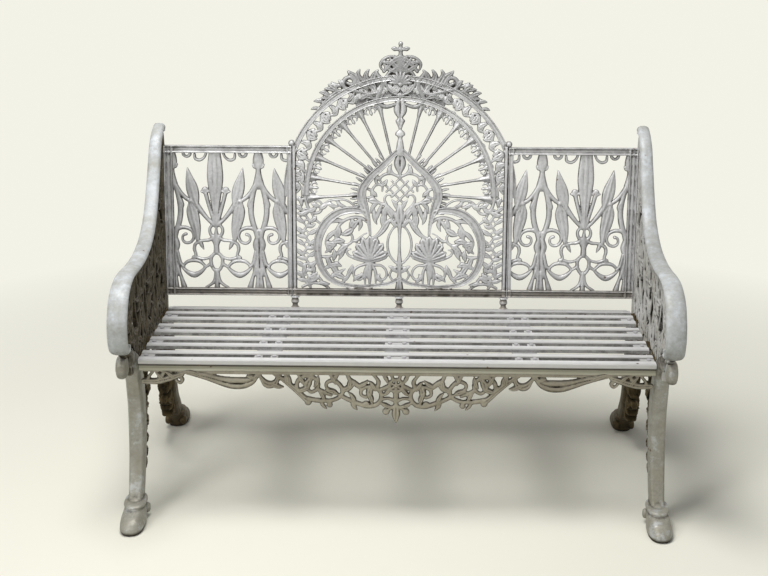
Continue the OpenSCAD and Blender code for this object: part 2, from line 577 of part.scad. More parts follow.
// End frame seen from its side, drawn as [y, z]
arm_line = [[487, 862, 7], [498, 872, 8], [488, 881, 8], [465, 874, 8], [440, 860, 8], [415, 838, 8], [386, 792, 8],
            [336, 718, 8], [287, 668, 8], [220, 634, 8], [140, 619, 8], [60, 618, 8], [10, 621, 8], [-45, 619, 8],
            [-98, 600, 8], [-128, 568, 8], [-144, 532, 8], [-146, 500, 8], [-138, 472, 8], [-121, 459, 8],
            [-108, 466, 7], [-108, 478, 6]];
front_leg = [[-83, 410, 54], [-58, 424, 40], [-30, 415, 36], [-2, 390, 40], [16, 350, 56], [23, 315, 57], [28, 270, 54],
             [22, 215, 44], [9, 155, 42], [-10, 105, 38], [-28, 64, 40]];
rear_leg = [[448, 396, 40], [446, 330, 42], [440, 270, 46], [440, 210, 50], [446, 160, 54], [466, 115, 54],
            [500, 78, 50], [528, 54, 44]];
front_hoof = [[-6, 72], [-4, 44], [-28, 16], [-36, 0], [-126, 0], [-143, 8], [-140, 20], [-112, 42], [-80, 60], [-50, 78]];
rear_hoof = [[496, 70], [512, 38], [528, 16], [536, 0], [624, 0], [640, 8], [637, 20], [610, 42], [574, 60], [545, 80]];
wing_lace = [
    [[-20, 392, 10], [-60, 432, 9], [-98, 462, 9], [-118, 505, 9], [-105, 553, 9], [-65, 580, 9], [-20, 570, 8],
     [4, 535, 8], [-8, 498, 8], [-42, 484, 7], [-70, 498, 7], [-72, 524, 6], [-48, 534, 6]],
    [[20, 396, 9], [50, 430, 9], [60, 470, 9], [42, 510, 8], [46, 560, 8], [85, 592, 8], [130, 580, 8],
     [150, 540, 8], [135, 500, 7], [100, 492, 7], [82, 515, 6], [95, 538, 6]],
    [[120, 396, 9], [160, 425, 9], [185, 465, 9], [170, 505, 8], [178, 560, 8], [215, 592, 8], [258, 577, 8],
     [278, 532, 8], [260, 492, 7], [224, 492, 7], [212, 520, 6], [230, 538, 6]],
    [[250, 394, 9], [300, 430, 9], [320, 470, 9], [303, 512, 8], [306, 570, 8], [345, 610, 8], [390, 600, 8],
     [412, 552, 8], [392, 507, 7], [355, 505, 7], [342, 535, 6], [362, 554, 6]],
    [[398, 560, 8], [376, 640, 8], [396, 700, 8], [428, 722, 8], [444, 692, 6], [427, 676, 5]],
    [[398, 702, 8], [418, 760, 8], [448, 792, 8], [462, 772, 6], [448, 758, 5]],
    [[428, 776, 7], [446, 820, 7], [474, 838, 6]],
    [[-66, 580, 7], [-58, 600, 9], [-44, 618, 7]],
    [[-118, 512, 7], [-132, 520, 9], [-146, 510, 6]],
    [[0, 545, 7], [20, 580, 12], [14, 618, 7]],
    [[46, 555, 7], [22, 548, 9], [2, 532, 6]],
    [[88, 590, 7], [92, 604, 8], [100, 620, 6]],
    [[135, 576, 7], [152, 596, 12], [150, 620, 6]],
    [[150, 540, 7], [164, 532, 8], [176, 520, 6]],
    [[218, 590, 7], [214, 608, 10], [224, 634, 6]],
    [[262, 572, 7], [276, 606, 12], [268, 654, 6]],
    [[278, 532, 7], [292, 540, 8], [304, 532, 6]],
    [[345, 610, 7], [322, 648, 13], [322, 700, 6]],
    [[320, 600, 6], [300, 628, 9], [290, 666, 5]],
    [[378, 640, 7], [358, 678, 10], [352, 738, 5]],
    [[402, 552, 7], [430, 560, 9], [472, 570, 7]],
    [[430, 676, 6], [452, 660, 9], [482, 652, 6]],
    [[444, 700, 6], [462, 712, 9], [488, 716, 6]],
    [[376, 630, 6], [412, 622, 10], [470, 616, 6]],
    [[454, 792, 6], [470, 800, 8], [490, 800, 6]],
    [[60, 470, 7], [84, 462, 12], [108, 470, 8], [128, 498, 5]],
    [[52, 436, 7], [84, 424, 12], [112, 402, 6]],
    [[60, 460, 7], [24, 460, 13], [-8, 492, 5]],
    [[30, 408, 7], [14, 440, 12], [-24, 452, 5]],
    [[183, 470, 7], [208, 462, 12], [238, 492, 5]],
    [[160, 425, 7], [196, 430, 12], [236, 400, 6]],
    [[150, 418, 7], [130, 448, 12], [108, 468, 5]],
    [[320, 470, 7], [346, 468, 12], [372, 504, 5]],
    [[300, 430, 7], [340, 436, 12], [386, 400, 6]],
    [[284, 420, 7], [262, 450, 12], [238, 470, 5], [204, 466, 5]],
    [[392, 507, 7], [420, 480, 12], [470, 470, 6]],
    [[340, 440, 7], [392, 450, 12], [466, 430, 6]],
    [[-85, 440, 12], [-104, 452, 11], [-124, 462, 8]],
    [[502, 820, 24], [501, 845, 18], [492, 870, 11]]
];
wing_leaves = [
    [-62, 560, 118, 50, 26], [-104, 538, 104, 56, 26], [-112, 478, 84, 54, 26], [-84, 438, 96, 50, 26], [-46, 436, 64, 46, 26],
    [-2, 524, 86, 66, 28], [32, 540, 84, 66, 28], [72, 562, 106, 52, 24], [104, 560, 60, 54, 26], [134, 528, 52, 60, 26],
    [8, 428, 106, 60, 28], [70, 438, 62, 58, 30], [20, 420, 60, 50, 24], [112, 424, 60, 56, 28], [140, 446, 104, 56, 28],
    [150, 410, 40, 50, 26], [194, 452, 58, 56, 30], [172, 540, 84, 66, 28], [218, 566, 88, 62, 28], [254, 546, 62, 64, 28],
    [282, 500, 60, 58, 26], [240, 414, 62, 58, 30], [272, 440, 86, 58, 28], [290, 408, 40, 50, 26], [330, 452, 56, 60, 30],
    [308, 542, 92, 74, 28], [346, 584, 84, 76, 30], [392, 548, 58, 76, 30], [402, 476, 46, 64, 30], [366, 420, 50, 60, 30],
    [424, 424, 84, 58, 30], [444, 556, 84, 70, 28], [334, 640, 112, 60, 28], [398, 596, 96, 70, 28], [372, 640, 118, 80, 28],
    [440, 640, 86, 66, 26], [408, 730, 112, 50, 22], [436, 720, 70, 56, 26], [462, 790, 92, 50, 22], [430, 784, 118, 44, 20],
    [-134, 520, 70, 50, 22], [-120, 462, 110, 44, 22], [44, 600, 30, 44, 18], [196, 606, 60, 40, 18], [296, 640, 50, 50, 22]
];
// Rosettes in the eyes of the scrolls, as [y, z, radius]
wing_rosettes = [[-42, 520, 38], [92, 534, 40], [230, 538, 40], [356, 556, 42], [424, 694, 28], [450, 772, 20]];
rosette_petals = 6;
wing_vine = 1.35;
front_bracket = [
    [[48, 366, 8], [80, 372, 8], [108, 366, 9], [132, 350, 9], [141, 326, 8], [128, 306, 8], [108, 304, 7],
     [98, 318, 6], [108, 331, 6]],
    [[44, 338, 7], [78, 322, 9], [98, 298, 9], [102, 270, 8], [88, 252, 8], [72, 256, 7], [71, 270, 6]],
    [[44, 280, 7], [62, 256, 9], [76, 226, 9], [68, 202, 8], [54, 200, 6]],
    [[36, 232, 7], [50, 198, 10], [40, 160, 5]],
    [[78, 372, 6], [94, 384, 9], [120, 394, 6]],
    [[130, 352, 6], [146, 366, 12], [156, 392, 5]],
    [[100, 292, 6], [122, 286, 10], [136, 292, 3]],
    [[76, 232, 5], [92, 226, 10], [102, 236, 3]],
    [[98, 318, 5], [86, 336, 7], [70, 344, 5], [48, 342, 5]]
];
rear_bracket = [
    [[432, 366, 8], [390, 368, 9], [340, 362, 9], [300, 352, 9], [280, 334, 8], [290, 314, 8], [310, 310, 7],
     [322, 322, 6], [312, 334, 6]],
    [[430, 338, 7], [400, 330, 9], [372, 308, 9], [366, 280, 8], [382, 260, 8], [402, 263, 7], [406, 277, 6]],
    [[424, 292, 7], [408, 290, 6], [398, 276, 6]],
    [[424, 248, 7], [396, 236, 9], [378, 212, 9], [382, 184, 8], [400, 174, 7], [412, 184, 6]],
    [[424, 208, 7], [396, 164, 9], [392, 132, 8], [408, 113, 7], [430, 112, 7]],
    [[300, 352, 6], [276, 366, 12], [252, 392, 5]],
    [[345, 362, 6], [352, 376, 10], [376, 392, 5]],
    [[366, 292, 6], [344, 290, 12], [326, 278, 3]],
    [[378, 216, 6], [358, 216, 12], [344, 206, 3]],
    [[392, 150, 6], [374, 150, 10], [362, 140, 3]],
    [[322, 322, 6], [346, 330, 9], [372, 318, 5]]
];

module lower_art() translate([seat_front_y, 0])
    scale([seat_depth / frame_art.x, seat_height / frame_art.y]) translate([frame_art_nose, 0]) children();
module upper_art() translate([seat_front_y, seat_height])
    scale([seat_depth / frame_art.x, panel_h / frame_art.z]) translate([frame_art_nose, -frame_art.y]) children();
module post_2d(w) translate(back_origin) rotate(-back_lean)
    translate([-w / 2, -back_lift - rear_rail_t]) square([w, back_lift + rear_rail_t + panel_h + 14]);
module seat_rail_2d(h0, h1) polygon([
    seat_point(-8, h0), seat_point(seat_depth + 56, h0), seat_point(seat_depth + 56, h1), seat_point(-8, h1)
]);
module legs_2d() lower_art() {
    stroke(front_leg, 3);
    stroke(rear_leg, 3);
}
module frame_lace_2d() {
    upper_art() {
        strokes(thicker(wing_lace, wing_vine));
        leaves(wing_leaves);
        for (r = wing_rosettes) rosette(r);
        stroke(arm_line, 3);
    }
    lower_art() strokes(concat(front_bracket, rear_bracket));
    post_2d(26);
    seat_rail_2d(-40, under_bearers + 2);
    legs_2d();
}

// Fasteners stand on the face that they clamp, with their shanks below it
module along_x(x, side = 1) translate([x, 0, 0]) rotate([0, 90 * side, 0]) children();
module hex_head(d) cylinder(d = head_ratio * d * 2 / sqrt(3), h = 0.65 * d, $fn = 6);
module hex_bolt(d, length) {
    hex_head(d);
    translate([0, 0, -length]) cylinder(d = d, h = length + 0.5, $fn = 24);
}
module bore(d, length) translate([0, 0, -length]) cylinder(d = d + bolt_clearance, h = length + 1, $fn = 24);
module nut(d) difference() {
    cylinder(d = head_ratio * d * 2 / sqrt(3), h = nut_ratio * d, $fn = 6);
    translate([0, 0, -1]) cylinder(d = d + bolt_clearance, h = nut_ratio * d + 2, $fn = 24);
}

// Places that the castings share with their fasteners
module at_seat_bolts() on_seat() {
    for (k = [0 : 3]) at_pair_bolts() translate([0, k * pair_pitch, 0]) children();
    at_rear_slat_bolts() children();
}
module at_pair_bolts() for (x = bolt_x, side = [-1, 1]) translate([side * x, pair_w / 2, 0]) children();
module at_rear_slat_bolts() for (x = [-leg_inner + 14, -bearer_x, 0, bearer_x, leg_inner - 14])
    translate([x, rear_slat_v + rear_slat_w / 2, 0]) children();
module at_front_rail_bolt() on_seat() translate([0, rail_v + front_rail_t / 2, under_bearers - front_rail_h / 2]) children();
module at_rear_rail_bolt() on_seat() translate([0, rear_rail_v + rear_rail_w / 2, under_bearers - rear_rail_t / 2 - 1]) children();
module at_rail_bolts() {
    at_front_rail_bolt() children();
    at_rear_rail_bolt() children();
}
module at_panel_bolts() on_back() for (s = panel_bolt_s) translate([0, s * panel_h / side_art.y, frame_mid]) children();
module at_tabs() on_back() for (s = tab_s) translate([0, s * panel_h / side_art.y, -lace_t / 2 - tab_t]) children();
module at_feet() on_back() for (x = [-outer_foot_x, 0, outer_foot_x]) translate([x, 0, frame_mid]) rotate([-90, 0, 0]) children();
module at_apron_lugs() on_seat() for (x = [-500, -280, -60, 60, 280, 500])
    translate([x * leg_inner / apron_art_x, rail_v, under_bearers]) children();
module at_front_bearer_bolts() on_seat() for (x = [-bearer_x, 0, bearer_x])
    translate([x, rail_v + front_rail_t / 2, under_slats]) children();
module at_rear_bearer_bolts() on_seat() for (x = [-bearer_x, 0, bearer_x])
    translate([x, rear_rail_v + bearer_lap / 2, under_slats]) children();
module at_bearer_bolts() {
    at_front_bearer_bolts() children();
    at_rear_bearer_bolts() children();
}

// Back castings
module frame_beads(w, h, left, right, base) translate([0, 0, base]) {
    for (y = [0.3 * rail_w, 0.7 * rail_w, h - 0.7 * rail_w, h - 0.3 * rail_w])
        translate([left / 2, y, 0]) rotate([0, 90, 0]) cylinder(r = bead_r, h = w - left / 2 - right / 2, $fn = 16);
    for (x = [left / 2, w - right / 2])
        translate([x, 0.3 * rail_w, 0]) rotate([-90, 0, 0]) cylinder(r = bead_r, h = h - 0.6 * rail_w, $fn = 16);
}
module back_panel_side() color("silver") difference() {
    on_back() translate([centre_half, 0, -lace_t / 2]) {
        level(0, frame_t) side_frame_2d();
        level(0.5, lace_t) lilies_2d();
        level(1, lace_t - 1) buds_2d();
        frame_beads(side_w, panel_h, inner_stile_w, outer_stile_w, frame_t);
    }
    at_panel_bolts() along_x(back_w / 2) bore(seat_bolt_d, thread_depth);
    at_tabs() translate([centre_half + inner_stile_w / 2, 0, 0]) mirror([0, 0, 1]) bore(seat_bolt_d, tab_t + 10);
}
module back_panel_right() back_panel_side();
module back_panel_left() mirror([1, 0, 0]) back_panel_side();

module back_panel_centre() color("silver") difference() {
    union() {
        on_back() translate([0, 0, -lace_t / 2]) {
            level(0, lace_t) ribs_2d();
            translate([0, 0, lace_t]) linear_extrude(rib_rise) offset(delta = -2.5) ribs_2d();
            level(1, lace_t - 0.5) cartouche_lace_2d();
            level(1.5, lace_t - 1.5) spokes_lace_2d();
            level(0.5, lace_t - 1) arch_lace_2d();
            level(0.8, lace_t - 0.8) spandrel_lace_2d();
            level(0.3, bed_t) crest_bed_2d();
            level(-0.5, lace_t + 1.5) crest_2d();
            translate([-centre_half, 0, 0]) cube([centre_w, rail_w, frame_t]);
            mirrored() {
                translate([centre_half - centre_stile_w, rail_w / 2, 0])
                    cube([centre_stile_w, panel_h - rail_w / 2, frame_t]);
                translate([centre_half, panel_h + 7, 0]) cylinder(r = 9, h = frame_t, $fn = 24);
            }
            translate([0, 0, frame_t]) for (y = [0.3 * rail_w, 0.7 * rail_w])
                translate([-centre_half, y, 0]) rotate([0, 90, 0]) cylinder(r = bead_r, h = centre_w, $fn = 16);
        }
        at_tabs() mirrored() translate([centre_half - centre_stile_w, -tab_w / 2, 0]) {
            cube([centre_stile_w + inner_stile_w, tab_w, tab_t]);
            translate([tab_root, tab_root, 0]) cube([centre_stile_w - 2 * tab_root, tab_w - 2 * tab_root, tab_t + frame_t / 2]);
        }
    }
    at_tabs() mirrored() translate([centre_half + inner_stile_w / 2, 0, 0]) mirror([0, 0, 1]) bore(seat_bolt_d, tab_t + 10);
    at_feet() bore_up(thread_depth - 4);
}
module bore_up(length) translate([0, 0, -1]) cylinder(d = seat_bolt_d + bolt_clearance, h = length + 1, $fn = 24);

// Seat castings
module slat_profile(w) intersection() {
    translate([w / 2, -slat_crown_r]) circle(r = slat_crown_r, $fn = 90);
    translate([0, -slat_t]) square([w, slat_t + 1]);
}
module slat_bar(v, w) translate([-seat_half, v, 0]) side_view() linear_extrude(2 * seat_half) slat_profile(w);
module bridge(x0, x1) translate([x0, slat_w - 2, -slat_t]) cube([x1 - x0, slat_slot + 4, bridge_t]);
module slat_pair(k) color("silver") on_seat() translate([0, k * pair_pitch, 0]) difference() {
    union() {
        slat_bar(0, slat_w);
        slat_bar(slat_w + slat_slot, slat_w);
        bridge(-middle_bridge / 2, middle_bridge / 2);
        both_sides() {
            bridge(bearer_x - quarter - 9, bearer_x - quarter + 9);
            bridge(bearer_x + quarter - 10, bearer_x + quarter + 10);
            bridge(seat_half - end_bridge, seat_half);
        }
        if (k == 0) translate([-seat_half, 0, 0]) side_view() linear_extrude(2 * seat_half) nose_2d();
    }
    at_pair_bolts() bore(seat_bolt_d, slat_t + 1);
}
module nose_2d() intersection() {
    translate([nose_h / 2, -nose_h / 2]) circle(d = nose_h, $fn = 48);
    translate([0, -nose_h]) square([nose_w, nose_h - 1]);
}
module seat_slats_front() slat_pair(0);
module seat_slats_second() slat_pair(1);
module seat_slats_third() slat_pair(2);
module seat_slats_fourth() slat_pair(3);
module seat_slat_rear() color("silver") on_seat() difference() {
    slat_bar(rear_slat_v, rear_slat_w);
    at_rear_slat_bolts() {
        bore(seat_bolt_d, slat_t + 1);
        translate([0, 0, bridge_t - slat_t]) cylinder(d = pan_d + 1, h = slat_t, $fn = 24);
    }
}

// Bars under the seat
module bearer(x, holes) color("silver") difference() {
    on_seat() translate([x - bearer_w / 2, rail_v, under_bearers])
        cube([bearer_w, rear_rail_v + bearer_lap - rail_v, bearer_t]);
    at_seat_bolts() bore(seat_bolt_d, slat_t + bearer_t + 1);
    at_bearer_bolts() {
        bore(seat_bolt_d, bearer_t + 1);
        countersink(0.2);
    }
}
module countersink(slack) translate([0, 0, -countersink_h])
    cylinder(d1 = seat_bolt_d + slack, d2 = countersink_d + slack, h = countersink_h, $fn = 24);
module seat_bearer_left() bearer(-bearer_x);
module seat_bearer_middle() bearer(0);
module seat_bearer_right() bearer(bearer_x);
module front_rail() color("silver") difference() {
    on_seat() translate([-leg_inner, rail_v, under_bearers - front_rail_h]) cube([2 * leg_inner, front_rail_t, front_rail_h]);
    both_sides() at_front_rail_bolt() along_x(leg_inner) bore(frame_bolt_d, thread_depth + 2);
    at_bearer_bolts() bore(seat_bolt_d, bearer_t + front_rail_h - 2);
    at_apron_lugs() translate([0, front_rail_t, -front_rail_h / 2]) rotate([-90, 0, 0]) bore(seat_bolt_d, thread_depth / 2);
}
module rear_rail() color("silver") difference() {
    union() {
        on_seat() translate([-leg_inner, rear_rail_v, under_bearers - rear_rail_t]) cube([2 * leg_inner, rear_rail_w, rear_rail_t]);
        at_feet() translate([0, 0, -back_lift - rear_rail_t - boss_rise])
            cylinder(r = boss_r, h = rear_rail_t + 2 * boss_rise, $fn = 32);
        both_sides() at_rear_rail_bolt() translate([leg_inner - 2 * thread_depth, -boss_r, -boss_r / 2 - 2])
            cube([2 * thread_depth, 2 * boss_r, boss_r]);
    }
    both_sides() at_rear_rail_bolt() along_x(leg_inner) bore(frame_bolt_d, thread_depth + 2);
    at_bearer_bolts() bore(seat_bolt_d, bearer_t + rear_rail_t + 1);
    at_feet() translate([0, 0, -back_lift + boss_rise]) bore(seat_bolt_d, rear_rail_t + 3 * boss_rise);
}
module back_feet() color("silver") difference() {
    at_feet() translate([0, 0, boss_rise - back_lift]) rotate_extrude($fn = 32) polygon([
        [0, 0], [boss_r - 1, 0], [boss_r - 1, 4], [foot_r - 3, 8], [foot_r - 4, 14], [foot_r, 20], [foot_r - 1, 26],
        [foot_r - 3, 30], [foot_r + 1, back_lift - boss_rise - 4], [foot_r + 1, back_lift - boss_rise], [0, back_lift - boss_rise]
    ]);
    at_feet() translate([0, 0, 1]) bore(seat_bolt_d, back_lift + 2);
}
module apron() color("silver") difference() {
    union() {
        on_seat() translate([0, rail_v + apron_t, under_bearers - front_rail_h - apron_art_top]) rotate([90, 0, 0])
            linear_extrude(apron_t) offset(delta = 0) apron_2d();
        at_apron_lugs() translate([-tab_w / 2, 0, -front_rail_h - apron_strip_h]) {
            cube([tab_w, front_rail_t + tab_t, apron_strip_h]);
            translate([0, front_rail_t, 0]) cube([tab_w, tab_t, apron_strip_h + front_rail_h - 2]);
        }
    }
    at_apron_lugs() translate([0, front_rail_t + tab_t, -front_rail_h / 2]) rotate([-90, 0, 0]) bore(seat_bolt_d, tab_t + 1);
}

// End frames
module plan_2d() polygon([
    [leg_x - arm_front_w / 2, seat_front_y - arm_reach], [leg_x + arm_front_w / 2, seat_front_y - arm_reach],
    [leg_x + arm_top_w / 2, back_origin.x + 20], [leg_x + arm_top_w / 2, back_origin.x + 80],
    [leg_x - arm_top_w / 2, back_origin.x + 80], [leg_x - arm_top_w / 2, back_origin.x + 20]
]);
module arm_band() intersection() {
    translate([leg_x - arm_front_w / 2, 0, 0]) side_view() linear_extrude(arm_front_w)
        offset(delta = 0.001) upper_art() stroke(arm_line, band_steps);
    linear_extrude(3 * seat_height) plan_2d();
}
module leg_bars() {
    translate([leg_x - leg_w / 2, 0, 0]) side_view() linear_extrude(leg_w) offset(delta = -5) legs_2d();
    translate([leg_x - leg_w / 2 + 5, 0, 0]) side_view() linear_extrude(leg_w - 10) offset(delta = -0.001) legs_2d();
}
module hoof(outline, toe) intersection() {
    translate([leg_x - hoof_w / 2, 0, 0]) side_view() linear_extrude(hoof_w) lower_art() polygon(outline);
    translate([leg_x, 400, 0]) rotate([90, 0, 0]) linear_extrude(1000) polygon([
        [-0.28 * hoof_w, 90], [-0.3 * hoof_w, 50], [-hoof_w / 2, 18], [-hoof_w / 2, 0],
        [hoof_w / 2, 0], [hoof_w / 2, 18], [0.3 * hoof_w, 50], [0.28 * hoof_w, 90]
    ]);
    linear_extrude(100) translate([leg_x, 0]) hoof_plan(outline, toe);
}
// Sole of a hoof, with the cleft between its two toes
module hoof_plan(outline, toe) {
    ys = [for (p = outline) seat_front_y + (p.x + frame_art_nose) * seat_depth / frame_art.x];
    heel = toe < 0 ? max(ys) : min(ys);
    tip = toe < 0 ? min(ys) : max(ys);
    a = heel - tip;
    polygon([
        [0.34 * hoof_w, heel], [hoof_w / 2, tip + 0.6 * a], [hoof_w / 2, tip + 0.45 * a], [0.36 * hoof_w, tip + 0.12 * a],
        [0.2 * hoof_w, tip], [0.06 * hoof_w, tip + 0.05 * a], [0, tip + 0.35 * a], [-0.06 * hoof_w, tip + 0.05 * a],
        [-0.2 * hoof_w, tip], [-0.36 * hoof_w, tip + 0.12 * a], [-hoof_w / 2, tip + 0.45 * a],
        [-hoof_w / 2, tip + 0.6 * a], [-0.34 * hoof_w, heel]
    ]);
}
module end_frame() color("silver") difference() {
    union() {
        translate([back_w / 2, 0, 0]) side_view() linear_extrude(web_t)
            offset(delta = 0) frame_lace_2d();
        arm_band();
        leg_bars();
        hoof(front_hoof, -1);
        hoof(rear_hoof, 1);
        on_seat() translate([leg_inner - ledge_w, rail_v, under_bearers])
            cube([back_w / 2 + web_t / 2 - leg_inner + ledge_w, rear_slat_v + rear_slat_w - rail_v, bearer_t]);
    }
    at_seat_bolts() bore(seat_bolt_d, slat_t + bearer_t + 1);
    at_rail_bolts() along_x(leg_x + leg_w / 2) bore(frame_bolt_d, leg_w + 1);
    at_panel_bolts() along_x(back_w / 2 + web_t) bore(seat_bolt_d, web_t + 1);
}
module end_frame_right() end_frame();
module end_frame_left() mirror([1, 0, 0]) end_frame();

// Fasteners
module seat_bolts() color("gray") at_seat_bolts() translate([0, 0, bridge_t - slat_t]) {
    cylinder(d = pan_d, h = pan_h, $fn = 24);
    translate([0, 0, -bridge_t - bearer_t - 6]) cylinder(d = seat_bolt_d, h = bridge_t + bearer_t + 7, $fn = 24);
}
module seat_nuts() color("gray") at_seat_bolts() translate([0, 0, under_bearers]) mirror([0, 0, 1]) nut(seat_bolt_d);
module rail_bolts() color("gray") both_sides() at_rail_bolts() along_x(leg_x + leg_w / 2) hex_bolt(frame_bolt_d, leg_w + thread_depth);
module panel_bolts() color("gray") both_sides() at_panel_bolts() along_x(back_w / 2 + web_t) hex_bolt(seat_bolt_d, web_t + thread_depth - 2);
module stile_bolts() color("gray") at_tabs() mirrored() translate([centre_half + inner_stile_w / 2, 0, 0])
    mirror([0, 0, 1]) hex_bolt(seat_bolt_d, tab_t + 9);
module foot_bolts() color("gray") at_feet() translate([0, 0, -back_lift - rear_rail_t - boss_rise])
    mirror([0, 0, 1]) hex_bolt(seat_bolt_d, back_lift + rear_rail_t + boss_rise + thread_depth - 6);
module apron_screws() color("gray") at_apron_lugs() translate([0, front_rail_t + tab_t, -front_rail_h / 2])
    rotate([-90, 0, 0]) hex_bolt(seat_bolt_d, tab_t + thread_depth / 2 - 1);
module flush_bolt(length) {
    countersink(0);
    translate([0, 0, -length]) cylinder(d = seat_bolt_d, h = length - 1, $fn = 24);
}
module bearer_bolts() color("gray") {
    at_front_bearer_bolts() flush_bolt(bearer_t + front_rail_h - 4);
    at_rear_bearer_bolts() flush_bolt(bearer_t + rear_rail_t + seat_bolt_d);
}
module bearer_nuts() color("gray") at_rear_bearer_bolts() translate([0, 0, -bearer_t - rear_rail_t])
    mirror([0, 0, 1]) nut(seat_bolt_d);

end_frame_left();
end_frame_right();
back_panel_left();
back_panel_centre();
back_panel_right();
seat_slats_front();
seat_slats_second();
seat_slats_third();
seat_slats_fourth();
seat_slat_rear();
seat_bearer_left();
seat_bearer_middle();
seat_bearer_right();
front_rail();
rear_rail();
apron();
back_feet();
seat_bolts();
seat_nuts();
rail_bolts();
panel_bolts();
stile_bolts();
foot_bolts();
apron_screws();
bearer_bolts();
bearer_nuts();
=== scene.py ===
"""Looks of the cast iron garden settee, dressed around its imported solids.

Every casting is swept stroke by stroke from the same ornament lists as the solids,
fused and softened as a casting is, and painted with a worn silver paint.
Ornament lists are in millimetres; meshes are in metres, in the row frame.
"""
import math
import bpy
import numpy as np
from mathutils import Matrix, Vector


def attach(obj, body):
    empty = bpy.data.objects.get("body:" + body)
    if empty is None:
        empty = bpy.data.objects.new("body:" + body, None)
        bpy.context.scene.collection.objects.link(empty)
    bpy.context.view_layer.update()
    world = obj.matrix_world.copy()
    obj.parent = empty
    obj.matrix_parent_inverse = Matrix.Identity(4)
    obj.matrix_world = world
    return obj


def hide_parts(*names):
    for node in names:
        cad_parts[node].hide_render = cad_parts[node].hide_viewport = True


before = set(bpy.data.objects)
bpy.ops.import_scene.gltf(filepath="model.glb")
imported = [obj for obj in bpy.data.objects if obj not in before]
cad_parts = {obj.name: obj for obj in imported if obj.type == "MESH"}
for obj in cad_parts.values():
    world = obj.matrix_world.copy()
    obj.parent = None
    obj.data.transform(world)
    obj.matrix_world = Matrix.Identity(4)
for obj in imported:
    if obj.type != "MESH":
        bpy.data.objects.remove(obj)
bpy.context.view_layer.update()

MM = 0.001
GRAIN = 0.0014

# Sizes of the settee, as in the solids
SEAT_HEIGHT, SEAT_DEPTH, SEAT_FALL = 410, 442, math.radians(1.3)
SEAT_FRONT_Y = -270
BACK_LEAN, BACK_LIFT = math.radians(5.8), 38
PANEL_H, SIDE_W, CENTRE_HALF = 406, 342, 288
LACE_T, FRAME_T = 7, 14
RAIL_W, OUTER_STILE_W, INNER_STILE_W, CENTRE_STILE_W = 20, 24, 13, 12
LEG_X, LEG_INNER = 636, 618
ARM_TOP_W, ARM_FRONT_W = 31, 48
UNDER_BEARERS = -18
RAIL_V, FRONT_RAIL_H, APRON_T = 12, 14, 7
ARCH_CENTRE, RIB_OUTER, RIB_INNER = 283, 303, 249
# The side drawing starts this far behind the row frame's middle
SIDE_ORIGIN = 245
# Where the foot of the back stands, along the seat
FOOT_V = 484.9


def seat_point(v, h):
    """A point of the seat's own frame as [y, z], in millimetres."""
    return np.array([
        SEAT_FRONT_Y + v * math.cos(SEAT_FALL) + h * math.sin(SEAT_FALL),
        SEAT_HEIGHT - v * math.sin(SEAT_FALL) + h * math.cos(SEAT_FALL),
    ])


BACK_ORIGIN = seat_point(FOOT_V, UNDER_BEARERS) + BACK_LIFT * np.array([math.sin(BACK_LEAN), math.cos(BACK_LEAN)])


def on_back(p):
    """Back frame, x along, y up the back and z to the front, into the row frame."""
    x, up, out = p.T
    s, c = math.sin(BACK_LEAN), math.cos(BACK_LEAN)
    return np.stack([x, BACK_ORIGIN[0] + up * s - out * c, BACK_ORIGIN[1] + up * c + out * s], 1) * MM


def on_seat(p):
    """Seat frame, x along, y back from the nose and z up, into the row frame."""
    x, v, h = p.T
    s, c = math.sin(SEAT_FALL), math.cos(SEAT_FALL)
    return np.stack([x, SEAT_FRONT_Y + v * c + h * s, SEAT_HEIGHT - v * s + h * c], 1) * MM


def right_side(p):
    """Side drawing, as [y, z, outwards from the middle of the web], into the right end frame."""
    return np.stack([LEG_X + p[:, 2], p[:, 0] - SIDE_ORIGIN, p[:, 1]], 1) * MM


def left_side(p):
    """The same drawing in the left end frame."""
    return right_side(p) * np.array([-1, 1, 1])


def even(*half):
    """A list of [x, height] that is the same on both sides, from its left half and its middle."""
    return [*half, *([-x, h] for x, h in half[::-1] if x)]


# Cross-sections of cast strokes, as [share of the half width, share of the rise]
ROUND = even([-1, 0], [-1, 0.3], [-0.88, 0.62], [-0.58, 0.9], [0, 1])
RIDGE = even([-1, 0], [-1, 0.3], [-0.7, 0.5], [-0.35, 0.72], [-0.1, 0.97])
VEIN = even([-1, 0], [-1, 0.35], [-0.82, 0.7], [-0.5, 0.97], [-0.18, 0.86], [0, 0.6])
BAND = even([-1, 0], [-1, 0.72], [-0.9, 0.97], [-0.72, 0.97], [-0.56, 0.7], [0, 0.8])
FLAT = even([-1, 0], [-1, 0.85], [-0.85, 1])
# the leaf of a lily, a low rib along the middle of a gently cupped face
LEAF = even([-1, 0], [-1, 0.45], [-0.9, 0.8], [-0.7, 0.93], [-0.32, 0.86], [-0.1, 1])


def smooth(points, n):
    """Curve through the points, with n steps from each to the next."""
    p = np.array(points, float)
    a = np.vstack([p[:1], p, p[-1:]])
    t = (np.arange(n) / n)[:, None]
    out = [
        0.5 * (2 * b + (c - z) * t + (2 * z - 5 * b + 4 * c - d) * t ** 2 + (3 * b - z - 3 * c + d) * t ** 3)
        for z, b, c, d in zip(a, a[1:], a[2:], a[3:])
    ]
    return np.vstack(out + [p[-1:]])


# Rounded tip of a stroke: how far on, how wide and how high
TIP = [(0.5, 0.87, 0.94), (0.86, 0.52, 0.74), (1.0, 0.12, 0.42)]


def around(n):
    """Angles of n points round a circle."""
    return np.linspace(0, 2 * math.pi, n, endpoint=False)


def widest(points):
    """Largest width along a stroke."""
    return max(p[2] for p in points)


def headings(q):
    """Unit direction of a curve at each of its points."""
    d = np.gradient(q[:, :2], axis=0)
    return d / np.maximum(np.linalg.norm(d, axis=1), 1e-9)[:, None]


